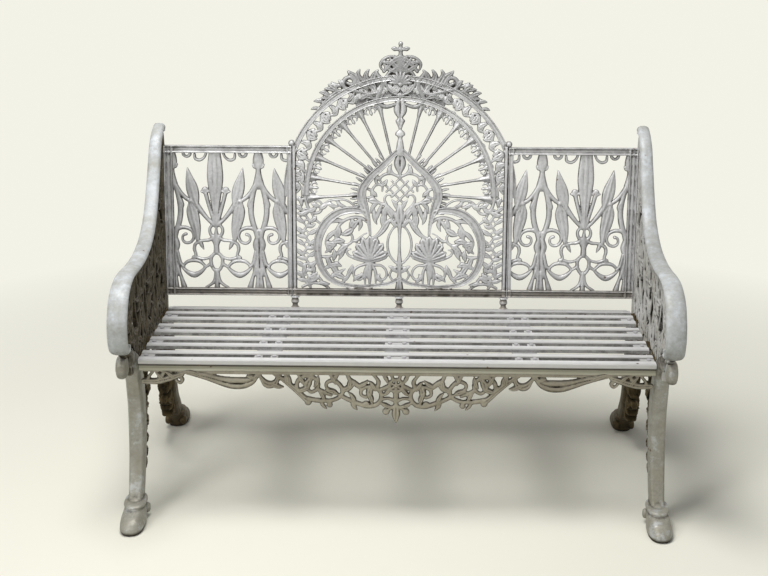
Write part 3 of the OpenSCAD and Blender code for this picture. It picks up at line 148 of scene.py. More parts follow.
class Casting:
    """Closed shells of one casting, gathered in its own frame in millimetres."""

    def __init__(self):
        self.points, self.faces, self.count = [], [], 0

    def shell(self, points, faces, mirror=False):
        """Adds a closed shell, and with mirror its reflection too."""
        points = np.asarray(points, float)
        self.points.append(points)
        self.faces += [[i + self.count for i in f] for f in faces]
        self.count += len(points)
        if mirror:
            self.shell(points * np.array([-1, 1, 1]), [f[::-1] for f in faces])

    def rings(self, rings, mirror=False):
        """A shell through closed rings of points, one after another."""
        rings = np.asarray(rings, float)
        k, m = rings.shape[:2]
        faces = [
            [i * m + j, i * m + (j + 1) % m, (i + 1) * m + (j + 1) % m, (i + 1) * m + j]
            for i in range(k - 1) for j in range(m)
        ]
        faces += [list(range(m))[::-1], list(range((k - 1) * m, k * m))]
        self.shell(rings.reshape(-1, 3), faces, mirror)

    def stroke(self, points, base, rise, section=ROUND, n=4, tips=True, both=False, mirror=False, full=9.0):
        """A cast stroke: the section swept along a curve of [x, y, width].

        Strokes under the full width stand lower. With both, the relief is the same on its two faces."""
        q = smooth(points, n)
        d = headings(q)
        centre, half = q[:, :2], q[:, 2] / 2
        # a thin stroke keeps at least this share of the rise
        least = 0.62
        lift = np.clip(least + (1 - least) * q[:, 2] / full, least, 1.0)
        if tips:
            first = [(centre[0] - d[0] * half[0] * a, half[0] * w, lift[0] * h) for a, w, h in TIP[::-1]]
            last = [(centre[-1] + d[-1] * half[-1] * a, half[-1] * w, lift[-1] * h) for a, w, h in TIP]
            centre = np.vstack([[f[0] for f in first], centre, [f[0] for f in last]])
            half = np.concatenate([[f[1] for f in first], half, [f[1] for f in last]])
            lift = np.concatenate([[f[2] for f in first], lift, [f[2] for f in last]])
            d = np.vstack([[d[0]] * 3, d, [d[-1]] * 3])
        side = np.stack([-d[:, 1], d[:, 0]], 1)
        s = np.array(section, float)
        if both:
            s = np.vstack([s[1:-1], s[1:-1][::-1] * [1, -1]])
        flat = centre[:, None, :] + side[:, None, :] * (half[:, None] * s[None, :, 0])[..., None]
        high = base + rise * lift[:, None] * s[None, :, 1]
        self.rings(np.concatenate([flat, high[..., None]], 2), mirror)

    def strokes(self, many, *args, **kw):
        """Several strokes alike."""
        for p in many:
            self.stroke(p, *args, **kw)

    def tracery(self, many, limit, base, rises, section=VEIN, share=1.0, **kw):
        """Strokes of lace: those wider than the limit have the section and the first rise, others are round."""
        for p in many:
            wide = widest(p) > limit
            self.stroke(broad(p, share), base, rises[0] if wide else rises[1], section if wide else ROUND, **kw)

    def leaves(self, many, base, rise, **kw):
        """Veined leaves, each given as [x, y, angle, length, width]."""
        self.strokes([leaf(f) for f in many], base, rise, VEIN, **kw)

    def dome(self, x, y, d, base, rise, mirror=False, both=False, n=20):
        """A round boss or bead, domed at its front."""
        turn = around(n)
        levels = [(1, 0), (1, 0.35), (0.93, 0.62), (0.72, 0.85), (0.4, 0.97), (0.06, 1)]
        if both:
            levels = [(r, -h) for r, h in levels[:0:-1]] + levels[1:]
        self.rings([
            np.stack([x + d / 2 * r * np.cos(turn), y + d / 2 * r * np.sin(turn), np.full(n, base + rise * h)], 1)
            for r, h in levels
        ], mirror)

    def block(self, low, high, mirror=False):
        """A bar with its front edges eased."""
        (x0, y0, z0), (x1, y1, z1) = low, high

        def ring(e, z):
            return [[x0 + e, y0 + e, z], [x1 - e, y0 + e, z], [x1 - e, y1 - e, z], [x0 + e, y1 - e, z]]

        chamfer = 1.0
        self.rings([ring(0, z0), ring(0, z1 - chamfer), ring(chamfer, z1)], mirror)

    def knob(self, y, z, x, levels, squash, n):
        """A rounded disc across a side drawing, through rings given as [offset outwards, radius]."""
        self.rings([
            [[y + r * math.cos(a), z + squash * r * math.sin(a), x + h] for a in around(n)] for h, r in levels
        ])


def hollows(points, normals, cell, reach):
    """How far the surface near each point stands above its tangent plane, as a share of the reach."""
    low = points.min(0) - (reach + 1) * cell
    at = np.floor((points - low) / cell).astype(int)
    shape = at.max(0) + reach + 3
    flat = np.ravel_multi_index(at.T, shape)
    size = int(np.prod(shape))
    sums = [np.bincount(flat, w, size).reshape(shape) for w in (None, *points.T)]
    for axis in range(3):
        for k, s in enumerate(sums):
            total = np.cumsum(s, axis=axis)
            sums[k] = np.roll(total, -reach, axis) - np.roll(total, reach + 1, axis)
    count = np.maximum(sums[0].ravel()[flat], 1)
    mean = np.stack([s.ravel()[flat] / count for s in sums[1:]], 1)
    return ((mean - points) * normals).sum(1) / (reach * cell)


def surface(mesh):
    """Places and normals of a mesh's points."""
    points, normals = (np.empty(len(mesh.vertices) * 3) for _ in range(2))
    mesh.vertices.foreach_get("co", points)
    mesh.vertex_normals.foreach_get("vector", normals)
    return points.reshape(-1, 3), normals.reshape(-1, 3)


def dirt_shade_and_highlight(mesh, rim):
    """Hollow attribute of a casting: 0.5 is flat, more is a hollow that takes grime and painted shade, less is a crest
    that takes a painted highlight.

    The rim is how far each point lies down the flanks of the relief, where painted shade, partly dirt, outlines it."""
    points, normals = surface(mesh)
    fine, coarse = (hollows(points, normals, cell, 2) for cell in (0.0022, 0.004))
    value = 0.5 + 0.55 * fine + 0.75 * coarse
    value = np.maximum(value, 0.5 + 0.26 * rim)
    layer = mesh.attributes.new("hollow", "FLOAT", "POINT")
    layer.data.foreach_set("value", np.clip(value, 0.06, 1).astype(np.float32))


def flanks(points, normals, low, high, both):
    """How much painted shade, partly dirt, each point of a relief gets: most on its steep and low flanks, least on
    crests and upward faces.
    """
    height, face = (np.abs(points[:, 2]), np.abs(normals[:, 2])) if both else (points[:, 2], normals[:, 2])
    steep = np.clip((0.86 - face) / 0.4, 0, 1) * (1 - 0.45 * np.clip(normals[:, 1], 0, 1))
    deep = np.clip((high - height) / (high - low), 0, 1)
    rim = np.maximum(0.8 * steep, 0.9 * deep)
    return rim if both else rim * np.clip(1.5 + 2 * normals[:, 2], 0, 1)


def cast(name, casting, place, nodes, material, outline=None, soften=3, thin=0.45, flip=False, chips=()):
    """Fuses a casting's shells, softens them and puts the piece in its place in the row frame.

    With an outline, as (low, high, both faces), painted shade, partly dirt, darkens the relief's flanks between those
    heights.
    Chips are dark flakes and spots of painted shade, as [x, y, z, radius] in the drawing."""
    mesh = bpy.data.meshes.new(name)
    mesh.from_pydata((np.vstack(casting.points) * MM).tolist(), [], casting.faces)
    obj = bpy.data.objects.new(name, mesh)
    bpy.context.scene.collection.objects.link(obj)
    fuse = obj.modifiers.new("fuse", "REMESH")
    fuse.mode = "VOXEL"
    fuse.voxel_size = GRAIN
    soft = obj.modifiers.new("soften", "SMOOTH")
    soft.factor, soft.iterations = 0.5, soften
    less = obj.modifiers.new("thin", "DECIMATE")
    less.ratio = thin
    graph = bpy.context.evaluated_depsgraph_get()
    made = bpy.data.meshes.new_from_object(obj.evaluated_get(graph))
    obj.modifiers.clear()
    old, obj.data = obj.data, made
    bpy.data.meshes.remove(old)
    made.name = name
    made.update()
    points, normals = surface(made)
    points = points / MM
    rim = flanks(points, normals, *outline) if outline else np.zeros(len(points))
    # chips, and spots of painted shade such as the corner behind the nose, raise the rim
    for *at, r in chips:
        rim = np.maximum(rim, np.clip(1.6 - np.linalg.norm(points - at, axis=1) / r, 0, 1))
    made.vertices.foreach_set("co", place(points).ravel())
    if flip:
        made.flip_normals()
    made.validate()
    made.update()
    made.shade_smooth()
    dirt_shade_and_highlight(made, rim)
    obj.data.materials.clear()
    obj.data.materials.append(material)
    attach(obj, "root")
    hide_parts(*nodes)


def moved(points, at, side=1):
    """The same stroke drawn elsewhere along x, and mirrored where side is -1."""
    return [[at + side * x, y, w] for x, y, w in points]


# How much broader than its drawing a stroke stands in relief
BROAD = 1.18


def broad(points, share=BROAD):
    """A stroke as it stands in relief, a little broader than its drawing."""
    return [[x, y, w * share] for x, y, w in points]


def turned(points, angle, at=(0, 0)):
    """The same stroke turned by an angle in degrees about the origin and then moved."""
    c, s = math.cos(math.radians(angle)), math.sin(math.radians(angle))
    return [[at[0] + p[0] * c - p[1] * s, at[1] + p[0] * s + p[1] * c, p[2]] for p in points]


def leaf(f):
    """A leaf given as [x, y, angle, length, width], as a stroke."""
    x, y, angle, length, width = f
    shape = [[0, 0, 0.45], [0.35, 0.06, 1], [0.72, 0.05, 0.82], [1, -0.03, 0.3]]
    return turned([[a * length, b * length, w * width] for a, b, w in shape], angle, (x, y))


def arc(at, r, start, end, w, step=6):
    """Points of an arc about a centre, from one angle to another in degrees."""
    n = max(2, int(abs(end - start) / step) + 1)
    return [
        [at[0] + r * math.cos(math.radians(a)), at[1] + r * math.sin(math.radians(a)), w]
        for a in np.linspace(start, end, n)
    ]


# Ornament, as [x, y, width] along each stroke; a leaf is [x, y, angle, length, width]
LILY_LEAF = [[0, 390, 26], [0, 352, 34], [0, 318, 37], [0, 285, 30], [0, 250, 20], [0, 215, 11], [0, 192, 9]]
LILY_STEM = [[0, 200, 7], [0, 186, 5], [0, 168, 10], [0, 152, 22], [0, 136, 13], [0, 118, 14]]
LILY_FOOT = [[0, 68, 8], [0, 40, 8], [0, 18, 14]]
LILY_SIDE = [
    [[5, 196, 7], [13, 225, 8], [21, 255, 9], [26, 276, 10]], [[16, 284, 5], [27, 279, 7], [38, 282, 5]], [[4, 190, 9],
    [18, 203, 9], [34, 222, 11], [50, 245, 13], [57, 258, 13]], [[50, 243, 8], [57, 266, 24], [63, 292, 27],
    [69, 318, 17], [74, 346, 2]], [[52, 256, 7], [66, 254, 9], [78, 262, 4]], [[68, 250, 10], [64, 232, 26],
    [59, 205, 27], [53, 178, 20], [50, 152, 10]], [[5, 196, 7], [17, 182, 7], [15, 166, 8], [4, 155, 9]], [[6, 158, 9],
    [20, 150, 8], [38, 148, 7], [56, 140, 8], [60, 125, 8], [56, 110, 7], [60, 102, 10]], [[8, 112, 7], [20, 102, 6],
    [36, 98, 7], [52, 102, 7]], [[44, 146, 8], [40, 136, 9], [34, 124, 2]], [[2, 116, 6], [13, 104, 7], [16, 90, 8],
    [12, 76, 8], [3, 64, 8]], [[3, 60, 8], [6, 42, 8], [14, 30, 7], [30, 20, 6]], [[30, 76, 6], [44, 90, 8],
    [62, 94, 9], [80, 90, 8], [94, 76, 6]], [[30, 76, 6], [44, 62, 10], [62, 54, 14], [80, 62, 10], [94, 76, 6]],
    [[14, 88, 7], [24, 80, 7], [32, 76, 6]], [[22, 388, 6], [28, 374, 6], [40, 366, 7], [52, 370, 7], [54, 382, 6]],
    [[64, 390, 5], [66, 380, 6], [74, 375, 6], [82, 380, 6], [84, 390, 5]],
]
BUD_STEM = [[0, 390, 16], [0, 372, 24], [0, 356, 24], [0, 342, 12], [0, 320, 18], [0, 303, 26]]
BUD_FOOT = [
    [0, 176, 10], [0, 158, 20], [0, 140, 30], [0, 126, 26], [0, 116, 18], [0, 100, 20], [0, 84, 28], [0, 66, 32],
]
BUD_SIDE = [
    [[4, 346, 5], [11, 348, 6], [15, 355, 4]], [[6, 306, 12], [14, 280, 12], [20, 250, 13], [21, 225, 13],
    [17, 200, 13], [9, 176, 12], [5, 160, 12]], [[10, 300, 9], [22, 280, 9], [36, 264, 10], [48, 258, 10],
    [56, 262, 7]], [[20, 262, 10], [27, 246, 8], [26, 236, 3]], [[6, 166, 9], [14, 180, 9], [32, 184, 9], [50, 176, 8],
    [56, 160, 8], [48, 145, 7], [34, 142, 7], [25, 150, 6], [26, 162, 6], [34, 166, 8]], [[10, 118, 8], [14, 100, 8],
    [18, 86, 8], [26, 78, 8]], [[4, 70, 9], [5, 45, 8], [6, 20, 12]], [[10, 74, 9], [18, 50, 8], [26, 20, 14]],
    [[30, 390, 5], [32, 380, 6], [40, 375, 6], [48, 380, 6], [50, 390, 5]],
]
OGEE = [
    [0, 398, 14], [20, 380, 15], [46, 354, 18], [76, 326, 20], [98, 296, 23], [102, 268, 25], [94, 242, 22],
    [86, 216, 14], [81, 190, 9], [79, 168, 7],
]
LOBE = [
    [90, 226, 10], [110, 234, 16], [140, 234, 20], [170, 224, 22], [195, 203, 24], [212, 175, 24], [220, 145, 22],
    [220, 115, 20], [213, 85, 18], [196, 56, 16], [170, 37, 13], [135, 28, 11], [95, 26, 10], [60, 30, 9], [25, 36, 9],
    [0, 50, 9],
]
OGEE_INSIDE = [
    [[8, 205, 9], [16, 228, 8], [34, 246, 8], [58, 256, 8], [74, 272, 8], [72, 292, 7], [60, 304, 7], [47, 299, 6],
    [47, 287, 6]], [[34, 248, 7], [41, 264, 7], [34, 276, 6], [22, 276, 5]], [[3, 324, 7], [22, 333, 8], [42, 330, 8],
    [54, 318, 7], [48, 308, 5]], [[16, 330, 6], [25, 345, 7], [22, 358, 4]], [[60, 302, 6], [64, 316, 10],
    [58, 332, 2]], [[60, 254, 8], [72, 243, 12], [78, 226, 3]], [[30, 244, 8], [40, 226, 14], [36, 202, 4]],
    [[47, 252, 5], [56, 230, 12], [62, 206, 3]], [[72, 286, 6], [86, 292, 8], [94, 290, 6]], [[72, 272, 6],
    [84, 268, 7], [94, 268, 6]],
]
LOBE_INSIDE = [
    [[84, 200, 8], [100, 212, 9], [122, 215, 9], [146, 207, 9], [164, 190, 9], [172, 168, 9], [164, 148, 9],
    [146, 139, 8], [130, 147, 8], [127, 163, 7], [138, 173, 7], [150, 167, 6]], [[150, 204, 8], [170, 206, 13],
    [190, 198, 4]], [[172, 178, 8], [188, 164, 14], [200, 148, 4]], [[168, 152, 8], [184, 132, 14], [200, 118, 4]],
    [[150, 140, 8], [154, 118, 14], [164, 98, 3]], [[110, 214, 6], [104, 196, 12], [110, 178, 3]], [[128, 150, 6],
    [114, 152, 9], [100, 166, 4], [88, 172, 4]], [[204, 74, 6], [184, 84, 13], [164, 94, 3]], [[186, 50, 6],
    [166, 62, 13], [146, 74, 3]], [[156, 34, 6], [142, 50, 11], [130, 64, 3]], [[212, 108, 6], [194, 106, 10],
    [178, 112, 3]], [[80, 92, 8], [66, 85, 8], [50, 84, 7], [38, 74, 7], [34, 58, 7], [42, 46, 7], [54, 49, 6],
    [53, 60, 5]], [[80, 92, 8], [96, 86, 8], [112, 80, 8], [123, 68, 8], [121, 52, 7], [108, 44, 7], [98, 52, 6],
    [102, 62, 5]], [[80, 94, 6], [80, 76, 15], [80, 52, 11], [80, 28, 5]], [[72, 84, 5], [64, 64, 9], [64, 30, 4]],
    [[88, 84, 5], [93, 64, 9], [92, 28, 4]], [[38, 106, 9], [58, 98, 9], [80, 95, 9], [102, 98, 9], [124, 105, 9]],
    [[124, 105, 8], [138, 112, 7], [142, 124, 6], [132, 128, 5]],
]
MIDDLE_COLUMN = [
    [[6, 196, 7], [20, 182, 6], [30, 160, 7], [32, 135, 7], [26, 112, 7], [14, 96, 7], [4, 88, 7]], [[28, 206, 9],
    [38, 192, 17], [48, 177, 15], [62, 164, 10], [78, 158, 5]], [[5, 82, 6], [18, 74, 6], [26, 58, 6], [18, 44, 6],
    [7, 48, 5]], [[28, 116, 6], [36, 108, 6], [40, 104, 6]],
]
COLUMN_STEM = [
    [0, 246, 8], [0, 232, 22], [0, 214, 26], [0, 196, 14], [0, 170, 9], [0, 140, 8], [0, 112, 10], [0, 90, 14],
    [0, 62, 11], [0, 42, 16], [0, 18, 24],
]
SPANDREL = [
    [[253, 285, 9], [252, 262, 9], [245, 240, 9], [231, 226, 8], [215, 228, 8], [207, 242, 7], [213, 256, 6],
    [225, 257, 6], [230, 248, 5]], [[206, 246, 6], [192, 258, 6], [174, 261, 6], [160, 252, 6], [168, 243, 5]],
    [[174, 262, 6], [152, 263, 6], [134, 256, 6], [120, 244, 6]], [[188, 258, 4], [182, 246, 8], [176, 236, 4]],
    [[248, 270, 6], [262, 262, 8], [277, 262, 5]], [[236, 224, 6], [226, 208, 7], [214, 198, 6]], [[250, 300, 5],
    [262, 310, 9], [277, 322, 4]], [[246, 330, 5], [260, 344, 9], [277, 352, 4]], [[238, 362, 5], [254, 374, 9],
    [276, 382, 5]], [[262, 24, 8], [238, 34, 8], [210, 32, 8], [190, 20, 7]], [[234, 60, 7], [216, 48, 8],
    [206, 34, 6]], [[238, 30, 5], [246, 44, 9], [242, 58, 3]],
]
CREST = [
    [[63, 603, 5], [59, 592, 11], [49, 577, 14], [48, 560, 14], [57, 543, 16], [61, 527, 15], [50, 514, 13],
    [34, 510, 11], [12, 517, 9]], [[0, 617, 11], [18, 608, 9], [34, 594, 9], [39, 576, 9], [33, 558, 9], [20, 546, 8],
    [8, 542, 8]], [[0, 637, 20], [16, 631, 15], [31, 618, 13], [44, 602, 9]], [[12, 640, 6], [28, 641, 8],
    [44, 634, 9], [53, 621, 9], [50, 608, 6]], [[34, 560, 6], [44, 548, 7], [50, 534, 7]], [[10, 531, 6], [26, 532, 6],
    [42, 528, 6]], [[18, 545, 5], [27, 538, 6], [26, 528, 4]], [[58, 548, 8], [78, 543, 10], [100, 547, 11],
    [122, 552, 12], [143, 557, 13], [151, 570, 13], [144, 583, 12], [131, 586, 11], [122, 577, 10], [128, 567, 11],
    [138, 571, 10]], [[66, 556, 10], [73, 574, 20], [70, 592, 15], [60, 605, 6]], [[74, 556, 10], [86, 574, 20],
    [91, 592, 15], [84, 606, 6]], [[88, 556, 10], [103, 574, 20], [112, 592, 15], [108, 606, 6]], [[108, 566, 8],
    [120, 588, 15], [134, 598, 11], [139, 604, 4]], [[150, 562, 8], [168, 566, 10], [182, 574, 4]], [[160, 550, 8],
    [182, 556, 14], [200, 556, 4]], [[176, 532, 8], [196, 534, 12], [212, 530, 4]], [[90, 546, 6], [86, 532, 10],
    [92, 520, 5]], [[118, 552, 6], [112, 536, 10], [116, 520, 5]], [[62, 540, 6], [70, 528, 8], [72, 518, 5]],
]
FINIAL = [[0, 604, 50], [0, 621, 36], [0, 635, 24], [0, 645, 12], [0, 664, 11], [0, 672, 9]]
PENDANT = [[0, 524, 26], [0, 506, 36], [0, 492, 30], [0, 481, 14], [0, 474, 26], [0, 462, 16], [0, 446, 4]]
OGEE_TIP = [[0, 436, 28], [0, 429, 12], [0, 416, 17], [0, 400, 22], [0, 388, 24]]
OGEE_BUD = [[0, 392, 8], [0, 378, 24], [0, 362, 33], [0, 348, 26], [0, 334, 10], [0, 322, 7]]
APRON_LACE = [
    [[608, 350, 10], [575, 350, 12], [545, 358, 12], [516, 368, 10]], [[600, 346, 8], [596, 360, 6], [586, 372, 5]],
    [[575, 350, 6], [566, 362, 10], [556, 374, 5]], [[524, 364, 8], [514, 355, 7], [520, 346, 6], [529, 352, 5]],
    [[505, 372, 6], [480, 368, 10], [450, 361, 14], [420, 352, 18], [395, 347, 22], [370, 347, 22], [350, 352, 16],
    [338, 362, 10], [330, 372, 6]], [[330, 370, 6], [322, 358, 8], [312, 346, 14], [300, 344, 14], [288, 352, 10],
    [284, 368, 6]], [[292, 372, 8], [272, 358, 9], [255, 344, 10], [240, 330, 10], [226, 316, 10], [212, 304, 12]],
    [[226, 318, 8], [238, 334, 8], [236, 354, 8], [220, 366, 8], [200, 364, 8], [188, 350, 8], [190, 334, 7],
    [204, 326, 7], [214, 334, 6]], [[205, 360, 8], [213, 346, 15], [212, 330, 4]], [[254, 344, 6], [258, 360, 9],
    [266, 372, 5]], [[214, 310, 8], [198, 306, 9], [180, 304, 9], [164, 304, 8], [160, 296, 8]], [[160, 304, 8],
    [146, 308, 8], [134, 316, 8], [128, 330, 8], [136, 346, 8], [150, 356, 8], [166, 350, 7], [167, 338, 6],
    [156, 332, 6]], [[150, 354, 6], [146, 364, 9], [138, 374, 5]], [[130, 330, 7], [114, 338, 12], [104, 350, 6],
    [110, 360, 5]], [[190, 336, 6], [174, 326, 8], [156, 318, 5]], [[134, 318, 8], [118, 309, 8], [104, 303, 9],
    [86, 296, 9], [70, 292, 10], [50, 294, 9], [38, 306, 8], [36, 324, 8], [48, 338, 8], [66, 342, 8], [82, 334, 7],
    [84, 320, 6], [72, 314, 6]], [[60, 340, 7], [64, 326, 13], [62, 308, 4]], [[46, 337, 7], [42, 352, 8],
    [48, 364, 6], [58, 374, 5]], [[82, 334, 6], [96, 347, 10], [112, 360, 8], [118, 374, 5]], [[16, 344, 8],
    [28, 338, 8], [40, 332, 7]], [[8, 360, 6], [10, 368, 6], [16, 376, 5]], [[3, 292, 8], [12, 287, 7], [22, 280, 7]],
    [[36, 308, 6], [20, 312, 6], [5, 306, 6]], [[180, 300, 6], [176, 292, 7], [168, 284, 3]], [[106, 304, 6],
    [102, 292, 9], [94, 282, 3]],
]
APRON_PENDANT = [[[0, 330, 16], [0, 312, 14], [0, 292, 11]], [[0, 291, 10], [0, 277, 21], [0, 263, 17], [0, 250, 4]]]
ARM_LINE = [
    [487, 862, 7], [498, 872, 8], [488, 881, 8], [465, 874, 8], [440, 860, 8], [415, 838, 8], [386, 792, 8],
    [336, 718, 8], [287, 668, 8], [220, 634, 8], [140, 619, 8], [60, 618, 8], [10, 621, 8], [-45, 619, 8],
    [-98, 600, 8], [-128, 568, 8], [-144, 532, 8], [-146, 500, 8], [-138, 472, 8], [-121, 459, 8], [-108, 466, 7],
    [-108, 478, 6],
]
FRONT_LEG = [
    [-83, 410, 54], [-58, 424, 40], [-30, 415, 36], [-2, 390, 40], [16, 350, 56], [23, 315, 57], [28, 270, 54],
    [22, 215, 44], [9, 155, 42], [-10, 105, 38], [-28, 64, 40],
]
REAR_LEG = [
    [448, 396, 40], [446, 330, 42], [440, 270, 46], [440, 210, 50], [446, 160, 54], [466, 115, 54], [500, 78, 50],
    [528, 54, 44],
]
WING_LACE = [
    [[-20, 392, 10], [-60, 432, 9], [-98, 462, 9], [-118, 505, 9], [-105, 553, 9], [-65, 580, 9], [-20, 570, 8],
    [4, 535, 8], [-8, 498, 8], [-42, 484, 7], [-70, 498, 7], [-72, 524, 6], [-48, 534, 6]], [[20, 396, 9],
    [50, 430, 9], [60, 470, 9], [42, 510, 8], [46, 560, 8], [85, 592, 8], [130, 580, 8], [150, 540, 8], [135, 500, 7],
    [100, 492, 7], [82, 515, 6], [95, 538, 6]], [[120, 396, 9], [160, 425, 9], [185, 465, 9], [170, 505, 8],
    [178, 560, 8], [215, 592, 8], [258, 577, 8], [278, 532, 8], [260, 492, 7], [224, 492, 7], [212, 520, 6],
    [230, 538, 6]], [[250, 394, 9], [300, 430, 9], [320, 470, 9], [303, 512, 8], [306, 570, 8], [345, 610, 8],
    [390, 600, 8], [412, 552, 8], [392, 507, 7], [355, 505, 7], [342, 535, 6], [362, 554, 6]], [[398, 560, 8],
    [376, 640, 8], [396, 700, 8], [428, 722, 8], [444, 692, 6], [427, 676, 5]], [[398, 702, 8], [418, 760, 8],
    [448, 792, 8], [462, 772, 6], [448, 758, 5]], [[428, 776, 7], [446, 820, 7], [474, 838, 6]], [[-66, 580, 7],
    [-58, 600, 9], [-44, 618, 7]], [[-118, 512, 7], [-132, 520, 9], [-146, 510, 6]], [[0, 545, 7], [20, 580, 12],
    [14, 618, 7]], [[46, 555, 7], [22, 548, 9], [2, 532, 6]], [[88, 590, 7], [92, 604, 8], [100, 620, 6]],
    [[135, 576, 7], [152, 596, 12], [150, 620, 6]], [[150, 540, 7], [164, 532, 8], [176, 520, 6]], [[218, 590, 7],
    [214, 608, 10], [224, 634, 6]], [[262, 572, 7], [276, 606, 12], [268, 654, 6]], [[278, 532, 7], [292, 540, 8],
    [304, 532, 6]], [[345, 610, 7], [322, 648, 13], [322, 700, 6]], [[320, 600, 6], [300, 628, 9], [290, 666, 5]],
    [[378, 640, 7], [358, 678, 10], [352, 738, 5]], [[402, 552, 7], [430, 560, 9], [472, 570, 7]], [[430, 676, 6],
    [452, 660, 9], [482, 652, 6]], [[444, 700, 6], [462, 712, 9], [488, 716, 6]], [[376, 630, 6], [412, 622, 10],
    [470, 616, 6]], [[454, 792, 6], [470, 800, 8], [490, 800, 6]], [[60, 470, 7], [84, 462, 12], [108, 470, 8],
    [128, 498, 5]], [[52, 436, 7], [84, 424, 12], [112, 402, 6]], [[60, 460, 7], [24, 460, 13], [-8, 492, 5]],
    [[30, 408, 7], [14, 440, 12], [-24, 452, 5]], [[183, 470, 7], [208, 462, 12], [238, 492, 5]], [[160, 425, 7],
    [196, 430, 12], [236, 400, 6]], [[150, 418, 7], [130, 448, 12], [108, 468, 5]], [[320, 470, 7], [346, 468, 12],
    [372, 504, 5]], [[300, 430, 7], [340, 436, 12], [386, 400, 6]], [[284, 420, 7], [262, 450, 12], [238, 470, 5],
    [204, 466, 5]], [[392, 507, 7], [420, 480, 12], [470, 470, 6]], [[340, 440, 7], [392, 450, 12], [466, 430, 6]],
    [[-85, 440, 12], [-104, 452, 11], [-124, 462, 8]], [[502, 820, 24], [501, 845, 18], [492, 870, 11]],
]
FRONT_BRACKET = [
    [[48, 366, 8], [80, 372, 8], [108, 366, 9], [132, 350, 9], [141, 326, 8], [128, 306, 8], [108, 304, 7],
    [98, 318, 6], [108, 331, 6]], [[44, 338, 7], [78, 322, 9], [98, 298, 9], [102, 270, 8], [88, 252, 8], [72, 256, 7],
    [71, 270, 6]], [[44, 280, 7], [62, 256, 9], [76, 226, 9], [68, 202, 8], [54, 200, 6]], [[36, 232, 7],
    [50, 198, 10], [40, 160, 5]], [[78, 372, 6], [94, 384, 9], [120, 394, 6]], [[130, 352, 6], [146, 366, 12],
    [156, 392, 5]], [[100, 292, 6], [122, 286, 10], [136, 292, 3]], [[76, 232, 5], [92, 226, 10], [102, 236, 3]],
    [[98, 318, 5], [86, 336, 7], [70, 344, 5], [48, 342, 5]],
]
REAR_BRACKET = [
    [[432, 366, 8], [390, 368, 9], [340, 362, 9], [300, 352, 9], [280, 334, 8], [290, 314, 8], [310, 310, 7],
    [322, 322, 6], [312, 334, 6]], [[430, 338, 7], [400, 330, 9], [372, 308, 9], [366, 280, 8], [382, 260, 8],
    [402, 263, 7], [406, 277, 6]], [[424, 292, 7], [408, 290, 6], [398, 276, 6]], [[424, 248, 7], [396, 236, 9],
    [378, 212, 9], [382, 184, 8], [400, 174, 7], [412, 184, 6]], [[424, 208, 7], [396, 164, 9], [392, 132, 8],
    [408, 113, 7], [430, 112, 7]], [[300, 352, 6], [276, 366, 12], [252, 392, 5]], [[345, 362, 6], [352, 376, 10],
    [376, 392, 5]], [[366, 292, 6], [344, 290, 12], [326, 278, 3]], [[378, 216, 6], [358, 216, 12], [344, 206, 3]],
    [[392, 150, 6], [374, 150, 10], [362, 140, 3]], [[322, 322, 6], [346, 330, 9], [372, 318, 5]],
]
OGEE_LEAVES = [
    [60, 256, 10, 24, 18], [34, 246, -70, 30, 15], [62, 272, 40, 22, 12], [48, 300, 130, 22, 12],
    [32, 332, 100, 22, 12], [52, 318, 20, 20, 12], [20, 212, 60, 32, 14], [46, 222, -100, 40, 14],
    [68, 236, -98, 40, 12], [6, 236, 62, 30, 12], [10, 190, 50, 28, 12], [8, 66, 40, 26, 12],
]
LOBE_LEAVES = [
    [152, 168, 150, 32, 19], [166, 162, 95, 28, 16], [150, 150, -5, 32, 17], [140, 138, -42, 36, 17],
    [172, 138, 15, 28, 14], [134, 188, 110, 26, 14], [112, 206, -60, 30, 14], [186, 120, 60, 26, 14],
    [178, 98, 95, 28, 14], [148, 48, 20, 36, 17], [168, 60, 55, 32, 17], [188, 82, 70, 28, 15], [140, 58, 118, 30, 14],
    [158, 82, 10, 28, 14], [100, 58, -35, 30, 12], [60, 58, -125, 26, 12], [80, 92, -90, 50, 20],
]
SPANDREL_LEAVES = [
    [236, 252, 200, 24, 12], [214, 238, 150, 24, 12], [192, 252, 200, 26, 12], [168, 254, 205, 26, 10],
    [244, 230, -30, 28, 12], [262, 246, 70, 26, 12], [262, 272, 100, 28, 12], [242, 40, 150, 30, 13],
    [262, 60, 105, 30, 12], [228, 66, 60, 28, 12], [214, 38, 195, 26, 12], [262, 306, 95, 30, 12],
    [258, 340, 80, 30, 12],
]
CREST_LEAVES = [
    [96, 560, 35, 26, 13], [114, 560, 60, 26, 13], [24, 622, 10, 24, 11], [148, 560, 52, 24, 14],
    [166, 552, 34, 28, 15], [186, 538, 20, 28, 14], [204, 522, 5, 24, 12], [216, 506, -10, 20, 10],
    [70, 532, 10, 30, 14], [108, 530, 150, 32, 14], [140, 524, 130, 30, 13],
]
CREST_FOOT = [[142, 554, 8], [166, 546, 15], [188, 530, 16], [207, 511, 12], [222, 492, 5]]
FINIAL_ARM = [[0, 659, 10], [9, 660, 9], [16, 661, 13], [21, 662, 8]]
